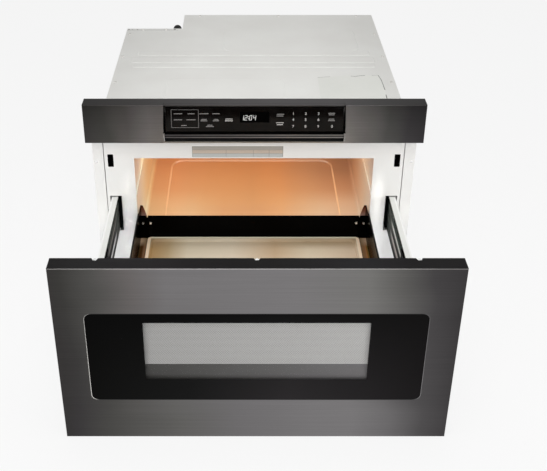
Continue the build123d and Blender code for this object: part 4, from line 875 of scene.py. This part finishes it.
def box(x_span, y_span, z_span):
    """The eight corners of a box, from spans in millimetres."""
    (x0, x1), (z0, z1) = x_span, z_span
    return upright([(x0, z0), (x1, z0), (x1, z1), (x0, z1)], y_span)


def ribbon(points, width, low, high):
    """A strip of even width along a line seen from above, in millimetres, with mitred corners."""
    edges = []
    for place, point in enumerate(points):
        before, after = Vector(points[max(place - 1, 0)]), Vector(points[min(place + 1, len(points) - 1)])
        along = (after - before).normalized()
        across = Vector((-along.y, along.x)) * width / 2
        edges.append((Vector(point) + across, Vector(point) - across))
    groups = []
    for (left, right), (next_left, next_right) in zip(edges, edges[1:]):
        outline = (right, next_right, next_left, left)
        top, foot = [[(p.x * MM, p.y * MM, z * MM) for p in outline] for z in (high, low)]
        groups.append(top + foot)
    return groups


def rounded(x_span, z_span, radius, steps=8):
    """The points of a rectangle with rounded corners, anticlockwise."""
    (x0, x1), (z0, z1) = x_span, z_span
    left, right, low, high = x0 + radius, x1 - radius, z0 + radius, z1 - radius
    points = []
    for turn, (x, z) in enumerate(((right, high), (left, high), (left, low), (right, low))):
        for step in range(steps + 1):
            angle = math.pi / 2 * (turn + step / steps)
            points.append((x + radius * math.cos(angle), z + radius * math.sin(angle)))
    return points


# ---------------- door and front plate

RING_GAP = 0.8
RING_Y = (-417.55, -416.2)
# Painted highlights and shade along the cut edge round the door's glass.
RING_TOP_SHADE = (1.0, 0.45)
RING_LIGHT_AND_SHADE_STOPS = ((0.0, "d8d5d1"), (0.01, "b0adaa"), (0.022, "0a0a0a"), (0.975, "0a0a0a"), (1.0, "787677"))


def make_glass_ring(finish):
    """The cut edge of the steel round the door's glass."""
    half, low, high, radius = [value / MM for value in (PANEL_HALF, PANEL_LOW, PANEL_HIGH, PANEL_RADIUS)]
    outer = rounded((-half, half), (low, high), radius)
    inset = half - RING_GAP
    inner = rounded((-inset, inset), (low + RING_GAP, high - RING_GAP), radius - RING_GAP)
    groups = []
    for place in range(len(outer)):
        after = (place + 1) % len(outer)
        outline = (inner[place], outer[place], outer[after], inner[after])
        groups.append(upright(outline, RING_Y))
    plates("glass_ring", groups, finish, "black_stainless", "drawer")


def ring_light_and_shade():
    """Painted light and shade on the edge: bright on the left, dark below and above, grey on the right,
    and darker towards the top.
    """
    finish = Finish("ring_light_and_shade", "6a6867", 0.4)
    tone = finish.stops(finish.across(PANEL_HALF), RING_LIGHT_AND_SHADE_STOPS)
    fade = finish.span(finish.axis("Z"), PANEL_LOW, PANEL_HIGH, *RING_TOP_SHADE)
    return finish.colour(finish.darken(tone, fade)).material


LABEL_X = (-113.4, 53.5)
LABEL_Z = (274.7, 296.8)
LABEL_FRONT = -0.12
LABEL_BANDS = (
    (0.0, "c8cccc"), (0.3, "c3c7c7"), (0.36, "d2c4b6"), (0.64, "cec1b4"), (0.7, "bab6b0"),
    (1.0, "b6b2ac"),
)


def foil():
    """A bare foil plate: three brushed bands, with neither words nor signs."""
    finish = Finish("foil", "b4b4b2", 0.4, Metallic=0.2)
    rise = finish.span(finish.axis("Z"), LABEL_Z[0] * MM, LABEL_Z[1] * MM)
    tone = finish.stops(rise, LABEL_BANDS)
    grain = finish.noise(0.5 * MM, stretch=(30, 1, 1), detail=3)
    return finish.colour(finish.darken(tone, finish.swing(grain, 0.93, 1.05))).material


RIM_X = (218.3, 220.3)
RIM_Y = (-388.0, -2.0)
RIM_Z = (151.8, 154.6)
SLOT_OUT = 268.5
SLOT_TOP = 191.2
SLOT_SHADE_Y = (-0.25, 0.0)
SLOT_SHADE_OVER, SLOT_SHADE_ABOVE = 1.8, 0.9
SLOT_SHADE_REACH = ((0.2, 12.5), (20.5, 0.1))  # inwards and down from the slot's corner


def make_black_trims(finish):
    """The folded rims of the basket's sides, and painted shade: thin black strips along the top and outer
    edges of the slots the arms run through.
    """
    rims = [box(sorted(side * x for x in RIM_X), RIM_Y, RIM_Z) for side in (-1, 1)]
    plates("basket_rims", rims, finish, "basket_paint", "drawer")
    # Painted shade: black strips along each slot's top and outer edge, where the gap round the arm lies
    # in shade.
    slot_shade = []
    for side in (-1, 1):
        for inwards, down in SLOT_SHADE_REACH:
            x_span = sorted((side * (SLOT_OUT - inwards), side * (SLOT_OUT + SLOT_SHADE_OVER)))
            slot_shade.append(box(x_span, SLOT_SHADE_Y, (SLOT_TOP - down, SLOT_TOP + SLOT_SHADE_ABOVE)))
    plates("slot_edge_shade", slot_shade, finish, "black_plastic")


RULE_Y = (LABEL_FRONT - 0.04, LABEL_FRONT)
RULE_HEIGHT = 0.35
RULE_ROWS = (7.6, 14.6)
RULE_COLUMNS = (62, 112, 141)
END_RULE, COLUMN_RULE, END_INSET = 0.5, 0.4, 0.9
SEAM_X, SEAM_HALF, SEAM_Z = 274.5, 1.1, (157.6, 161.8)
SEAM_Y = (-0.1, 0)


def make_front_plate_detail():
    """The bare plate over the cavity's mouth, its thin rules, and the marks of the folded edges."""
    (x0, x1), (z0, z1) = LABEL_X, LABEL_Z
    plates("label_plate", [box(LABEL_X, (LABEL_FRONT, 0), LABEL_Z)], foil(), "white_paint")
    rows = (z0, *[z0 + rise for rise in RULE_ROWS], z1 - RULE_HEIGHT)
    rules = [box(LABEL_X, RULE_Y, (z, z + RULE_HEIGHT)) for z in rows]
    rules += [box((x, x + END_RULE), RULE_Y, LABEL_Z) for x in (x0, x1 - END_INSET)]
    columns = [x0 + x for x in RULE_COLUMNS]
    rules += [box((x, x + COLUMN_RULE), RULE_Y, (z0, z0 + RULE_ROWS[-1])) for x in columns]
    ink = printed("rule_ink", "5e5b58", "7a7774", grain=0.4 * MM)
    plates("label_rules", rules, ink, "white_paint")
    seams = [box((x - SEAM_HALF, x + SEAM_HALF), SEAM_Y, SEAM_Z) for x in (-SEAM_X, SEAM_X)]
    plates("seam_marks", seams, ink, "white_paint")


# ---------------- top cover

COVER_TOP = 350.5
# Each pressing's span across, its span in depth and its corner radius: three beads, then three panels.
PRESSINGS = (
    (-246, 250, 244, 259, 6), (-250, 252, 269, 300, 6), (-240, 246, 309, 335, 6),
    (-170, 62, 6, 190, 24), (-62, 226, 330, 470, 26), (70, 120, 20, 60, 8),
)
PRESS_HEIGHT = 0.7
PRESS_SLOPE = 2.6
SUNK = 0.2


def pressed(x0, x1, y0, y1, radius):
    """A low plateau with sloping sides, as pressed in sheet, in millimetres."""
    foot = rounded((x0, x1), (y0, y1), radius)
    head_x, head_y = [(low + PRESS_SLOPE, high - PRESS_SLOPE) for low, high in ((x0, x1), (y0, y1))]
    head = rounded(head_x, head_y, radius - PRESS_SLOPE)
    rings = ((foot, -SUNK), (foot, 0.0), (head, PRESS_HEIGHT))
    vertices = [(x * MM, y * MM, (COVER_TOP + rise) * MM) for ring, rise in rings for x, y in ring]
    count = len(foot)
    faces = [tuple(reversed(range(count))), tuple(2 * count + step for step in range(count))]
    for level in (0, count):
        for step in range(count):
            after = (step + 1) % count
            faces.append((level + step, level + after, level + count + after, level + count + step))
    return vertices, faces


FILM_EDGE = (
    (127.4, 193.3), (152.5, 197.1), (168.0, 199.5), (185.6, 206.0), (194.0, 200.0), (202.2, 198.4),
    (212.0, 201.5), (222.6, 203.5), (236.0, 203.2), (248.6, 204.7), (252.0, 180.8), (252.6, 155.0),
    (252.9, 132.2), (252.0, 110.0), (251.3, 91.5), (252.0, 45.0), (251.6, 3.0),
)
FILM_CORNER = (126.0, 3.0)
FILM_GAUGE = 0.12
# The first point, the end and the width of each stretch of the film's edge that carries a painted shadow.
SHADOW_SPANS = ((0, 2, 0.9), (4, 8, 1.5), (8, 10, 0.7), (9, 13, 1.3), (13, 17, 1.6))
HEM_LINE = ((-277.0, 462.6), (-165.0, 462.6))
HEM_WIDTH = 1.0
HEM_Y = (462.4, 466.6)
HEM_TICKS = ((-274.0, 3.0), (-266.0, 1.2), (-255.0, 1.6), (-240.0, 1.2), (-192.0, 1.6), (-172.0, 4.0))
MARK_RISE = 0.1
TICK_RISE = 0.15


def make_top_cover_detail(finishes):
    """Pressed beads and panels, a sheet of thin film with a wavy edge and a painted shadow along
    stretches of it, and the hem over the notch.
    """
    shapes = [pressed(*pressing) for pressing in PRESSINGS]
    piece("cover_pressings", *join(shapes), finishes["coated_steel"].copy(), "chassis", "coated_steel")
    outline = [FILM_CORNER, *reversed(FILM_EDGE)]
    vertices = [(x * MM, y * MM, (COVER_TOP + z) * MM) for z in (-SUNK, FILM_GAUGE) for x, y in outline]
    size = len(outline)
    faces = [tuple(reversed(range(size))), tuple(size + step for step in range(size))]
    faces += [(step, (step + 1) % size, size + (step + 1) % size, size + step) for step in range(size)]
    film = enamel("film", "e0e0db", "dadbd5", roughness=0.45, grain=8 * MM).material
    piece("cover_film", vertices, faces, film, "chassis", "coated_steel")
    edge = Finish("film_edge", "6b6b68", 0.5)
    edge.colour(edge.mix(edge.span(edge.noise(3 * MM), 0.35, 0.65), "41413e", "a0a09c"))
    low = COVER_TOP - SUNK
    # Painted shadow: dark strips along stretches of the film's edge.
    groups = []
    for first, last, width in SHADOW_SPANS:
        groups += ribbon(FILM_EDGE[first:last], width, low, COVER_TOP + FILM_GAUGE + MARK_RISE)
    plates("cover_film_edge", groups, edge.material, "coated_steel")
    hem = ribbon(HEM_LINE, HEM_WIDTH, low, COVER_TOP + MARK_RISE)
    hem += [box((x - w / 2, x + w / 2), HEM_Y, (low, COVER_TOP + TICK_RISE)) for x, w in HEM_TICKS]
    plates("hem_marks", hem, edge.material, "coated_steel")


# ---------------- the control panel

GLASS_FOOT = (-26.5 * MM, 337.5 * MM)
GLASS_HEAD = (-21.5 * MM, 388.7 * MM)
INK = 0.06 * MM


def on_glass(x, z, lift=0.0):
    """A point on the leaning control glass, at a place given in millimetres."""
    (foot_y, foot_z), (head_y, head_z) = GLASS_FOOT, GLASS_HEAD
    share = (z * MM - foot_z) / (head_z - foot_z)
    slope = Vector((0, head_y - foot_y, head_z - foot_z)).normalized()
    out = Vector((0, -slope.z, slope.y))
    return Vector((x * MM, foot_y + share * (head_y - foot_y), z * MM)) + out * lift


def ink_box(x_span, z_span, shear=0.0, lift=INK):
    """A thin printed patch; shear leans its top sideways."""
    (x0, x1), (z0, z1) = x_span, z_span
    lean = shear * (z1 - z0)
    outline = ((x0, z0), (x1, z0), (x1 + lean, z1), (x0 + lean, z1))
    return [on_glass(x, z, rise) for rise in (lift, 0.0) for x, z in outline]


KEY_DASHES = (
    (-134.8, 373.2, 15), (-111.9, 373.2, 12), (-135.2, 361.9, 15), (-112.2, 361.9, 16),
    (-124.9, 351.2, 10), (-89.0, 373.2, 16), (-67.8, 373.2, 13), (-89.2, 362.6, 10), (-89.2, 360.0, 12),
    (-68.0, 362.6, 8), (-68.0, 360.0, 11), (-78.8, 351.8, 9), (-78.8, 349.2, 14), (46.3, 372.2, 13),
    (45.4, 369.0, 12), (136.7, 374.0, 12), (136.7, 371.2, 10), (136.7, 363.2, 10), (136.7, 360.4, 12),
)
BRIGHT_DASHES = ((-45.0, 363.4, 13), (-45.0, 360.0, 14), (45.4, 356.4, 14), (45.4, 352.8, 11))
DASH_HEIGHT = 1.5
LETTER = 1.25
LETTER_GAP = 0.45
LETTER_STEP = 0.12


def dash_marks(marks):
    """Rows of short strokes where a key is labelled: they stand for no letters."""
    groups = []
    for x, z, length in marks:
        count = max(3, round(length / (LETTER + LETTER_GAP)))
        pitch = length / count
        for place in range(count):
            start = x - length / 2 + place * pitch
            rise = LETTER_STEP * ((place * 7) % 3 - 1)
            low = z - DASH_HEIGHT / 2 + rise
            groups.append(ink_box((start, start + pitch - LETTER_GAP), (low, low + DASH_HEIGHT)))
    return groups


BOX_X = (-147.4, -98.9)
BOX_Z = (347.0, 380.8)
BOX_GAP = (-136.0, -110.0)
BOX_RULE = 0.45
TITLE_X = range(-134, -111, 2)
TITLE_WIDTH = 0.9
TITLE_Z = (-0.7, 0.2)


def box_outline():
    """The thin box printed round the first group of keys, broken by the strokes of its title."""
    (x0, x1), (z0, z1) = BOX_X, BOX_Z
    sides = [ink_box((x, x + BOX_RULE), BOX_Z) for x in (x0, x1 - BOX_RULE)]
    foot = ink_box(BOX_X, (z0, z0 + BOX_RULE))
    heads = [ink_box(x_span, (z1 - BOX_RULE, z1)) for x_span in ((x0, BOX_GAP[0]), (BOX_GAP[1], x1))]
    title = [ink_box((x, x + TITLE_WIDTH), (z1 + TITLE_Z[0], z1 + TITLE_Z[1])) for x in TITLE_X]
    return [*sides, foot, *heads, *title]


SEGMENTS = {"0": "abcdef", "1": "bc", "2": "abged", "4": "fgbc"}
DIGIT_WIDTH, DIGIT_HEIGHT, STROKE = 4.4, 9.2, 0.66
DIGIT_SHEAR = 0.14
CLOCK = (("1", -23.8), ("2", -17.8), ("0", -9.5), ("4", -2.6))
CLOCK_LOW = 361.0
COLON_X = -11.6
COLON_RISES = (2.4, 6.0)
COLON_SIZE = (1.1, 1.2)


def digit(shape, x, low):
    """The lit strokes of one seven-stroke figure."""
    right, top = x + DIGIT_WIDTH, low + DIGIT_HEIGHT
    middle = (low + top) / 2
    strokes = {
        "a": ((x, right), (top - STROKE, top)),
        "b": ((right - STROKE, right), (middle, top)),
        "c": ((right - STROKE, right), (low, middle)),
        "d": ((x, right), (low, low + STROKE)),
        "e": ((x, x + STROKE), (low, middle)),
        "f": ((x, x + STROKE), (middle, top)),
        "g": ((x, right), (middle - STROKE / 2, middle + STROKE / 2)),
    }
    groups = []
    for key in SEGMENTS[shape]:
        (x0, x1), (z0, z1) = strokes[key]
        lean = DIGIT_SHEAR * (z0 - low)
        groups.append(ink_box((x0 + lean, x1 + lean), (z0, z1), DIGIT_SHEAR))
    return groups


KEY_FIGURES = (
    ("1", 68.8, 373.2), ("2", 90.8, 373.2), ("3", 113.4, 373.2), ("4", 68.8, 361.9), ("5", 90.8, 361.9),
    ("6", 113.4, 361.9), ("7", 68.8, 349.3), ("8", 90.8, 349.3), ("9", 113.4, 349.3),
    ("0", 137.9, 349.3),
)
FIGURE_HEIGHT = 5.2
FONT_SCALE = 1.35


def key_figures(finish):
    """The ten figures of the keypad, printed on the glass."""
    tilt = math.atan2(GLASS_HEAD[0] - GLASS_FOOT[0], GLASS_HEAD[1] - GLASS_FOOT[1])
    for figure, x, z in KEY_FIGURES:
        data = bpy.data.curves.new(f"figure_{figure}", "FONT")
        data.body = figure
        data.size = FIGURE_HEIGHT * MM * FONT_SCALE
        data.align_x = data.align_y = "CENTER"
        data.extrude = INK / 2
        text = place_object(f"figure_{figure}_text", data)
        bpy.context.view_layer.update()
        mesh = bpy.data.meshes.new_from_object(text)
        bpy.data.objects.remove(text)
        turn = Matrix.Rotation(math.radians(90) - tilt, 4, "X")
        mesh.transform(Matrix.Translation(on_glass(x, z, INK / 2)) @ turn)
        mesh.materials.clear()
        mesh.materials.append(finish)
        made = place_object(f"key_figure_{figure}", mesh)
        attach(made, "chassis")


def printed(name, colour, shade, glow=0.0, grain=0.3 * MM, roughness=0.5, **constants):
    """White, grey or black ink, a lit stroke, or a bare cut edge."""
    if glow:
        constants = {"Emission_Color": srgb(colour), "Emission_Strength": glow, **constants}
    finish = Finish(name, colour, roughness, **constants)
    return finish.colour(finish.cloudy(grain, colour, shade)).material


DISPLAY_X = (-25.5, 26.3)
DISPLAY_Z = (356.9, 377.0)
RECESS_SHADE_SIDE = ((159.9, 391.9), (160.6, 379.0), (161.4, 363.6), (161.9, 347.9), (161.7, 337.4))
RECESS_SHADE_INNER = 157.9
RECESS_SHADE_Y = (-28.62, -28.2)
RECESS_SHADE_TOP = (388.6, 390.4)
RECESS_SHADE_FOOT = (337.2, 339.4)
FOOT_HALF = 162.6
LIP_END = ((162.0, 334.5), (160.4, 321.2))
LIP_END_WIDTH = 1.3


def make_surround(finish):
    """Painted shade round the control glass, as thin black bands and wedges where the recess lies in
    shade, and the bright cut ends beside the lip.
    """
    # Painted shade: black bands at the top and the foot of the recess, and wedges down its sides.
    groups = []
    for half, z_span in ((RECESS_SHADE_INNER, RECESS_SHADE_TOP), (FOOT_HALF, RECESS_SHADE_FOOT)):
        groups.append(box((-half, half), RECESS_SHADE_Y, z_span))
    ends = []
    for side in (-1, 1):
        for (x0, z0), (x1, z1) in zip(RECESS_SHADE_SIDE, RECESS_SHADE_SIDE[1:]):
            corners = ((RECESS_SHADE_INNER, z1), (x1, z1), (x0, z0), (RECESS_SHADE_INNER, z0))
            groups.append(upright([(side * x, z) for x, z in corners][::side], RECESS_SHADE_Y))
        (x0, z0), (x1, z1) = LIP_END
        half = LIP_END_WIDTH / 2
        corners = ((x1 - half, z1), (x1 + half, z1), (x0 + half, z0), (x0 - half, z0))
        ends.append(upright([(side * x, z) for x, z in corners][::side], RECESS_SHADE_Y))
    plates("control_recess_shade", groups, finish, "black_plastic")
    bare = printed("cut_steel", "8c8a88", "a5a3a0", grain=0.5 * MM, roughness=0.4)
    plates("lip_ends", ends, bare, "black_stainless")


def make_control_panel():
    """What is printed and lit on the control glass."""
    dark = printed("display_black", "010101", "000000", Specular_IOR_Level=0.02)
    patch = ink_box(DISPLAY_X, DISPLAY_Z, lift=INK / 2)
    make_surround(dark)
    ink = printed("grey_ink", "8f8d8b", "827f7d")
    bright = printed("white_ink", "c9c7c4", "bdbab7")
    lit = printed("lit_figures", "e4e4e2", "dcdcda", glow=0.42)
    strokes = [stroke for shape, x in CLOCK for stroke in digit(shape, x, CLOCK_LOW)]
    width, height = COLON_SIZE
    for rise in COLON_RISES:
        x, z = COLON_X + DIGIT_SHEAR * rise, CLOCK_LOW + rise
        strokes.append(ink_box((x, x + width), (z, z + height)))
    for name, groups, finish in (
        ("display_patch", [patch], dark),
        ("key_marks", dash_marks(KEY_DASHES), ink),
        ("key_marks_bright", dash_marks(BRIGHT_DASHES), bright),
        ("key_box", box_outline(), ink),
        ("clock_figures", strokes, lit),
    ):
        plates(name, groups, finish, "control_black")
    key_figures(bright)


# ---------------- run


finishes = make_finishes()
dress(finishes)
make_camera()
make_stage()
make_world()
make_lights()
make_glass_ring(ring_light_and_shade())
make_front_plate_detail()
make_black_trims(finishes["black_plastic"])
make_top_cover_detail(finishes)
make_control_panel()
bpy.context.scene.view_settings.view_transform = "Standard"
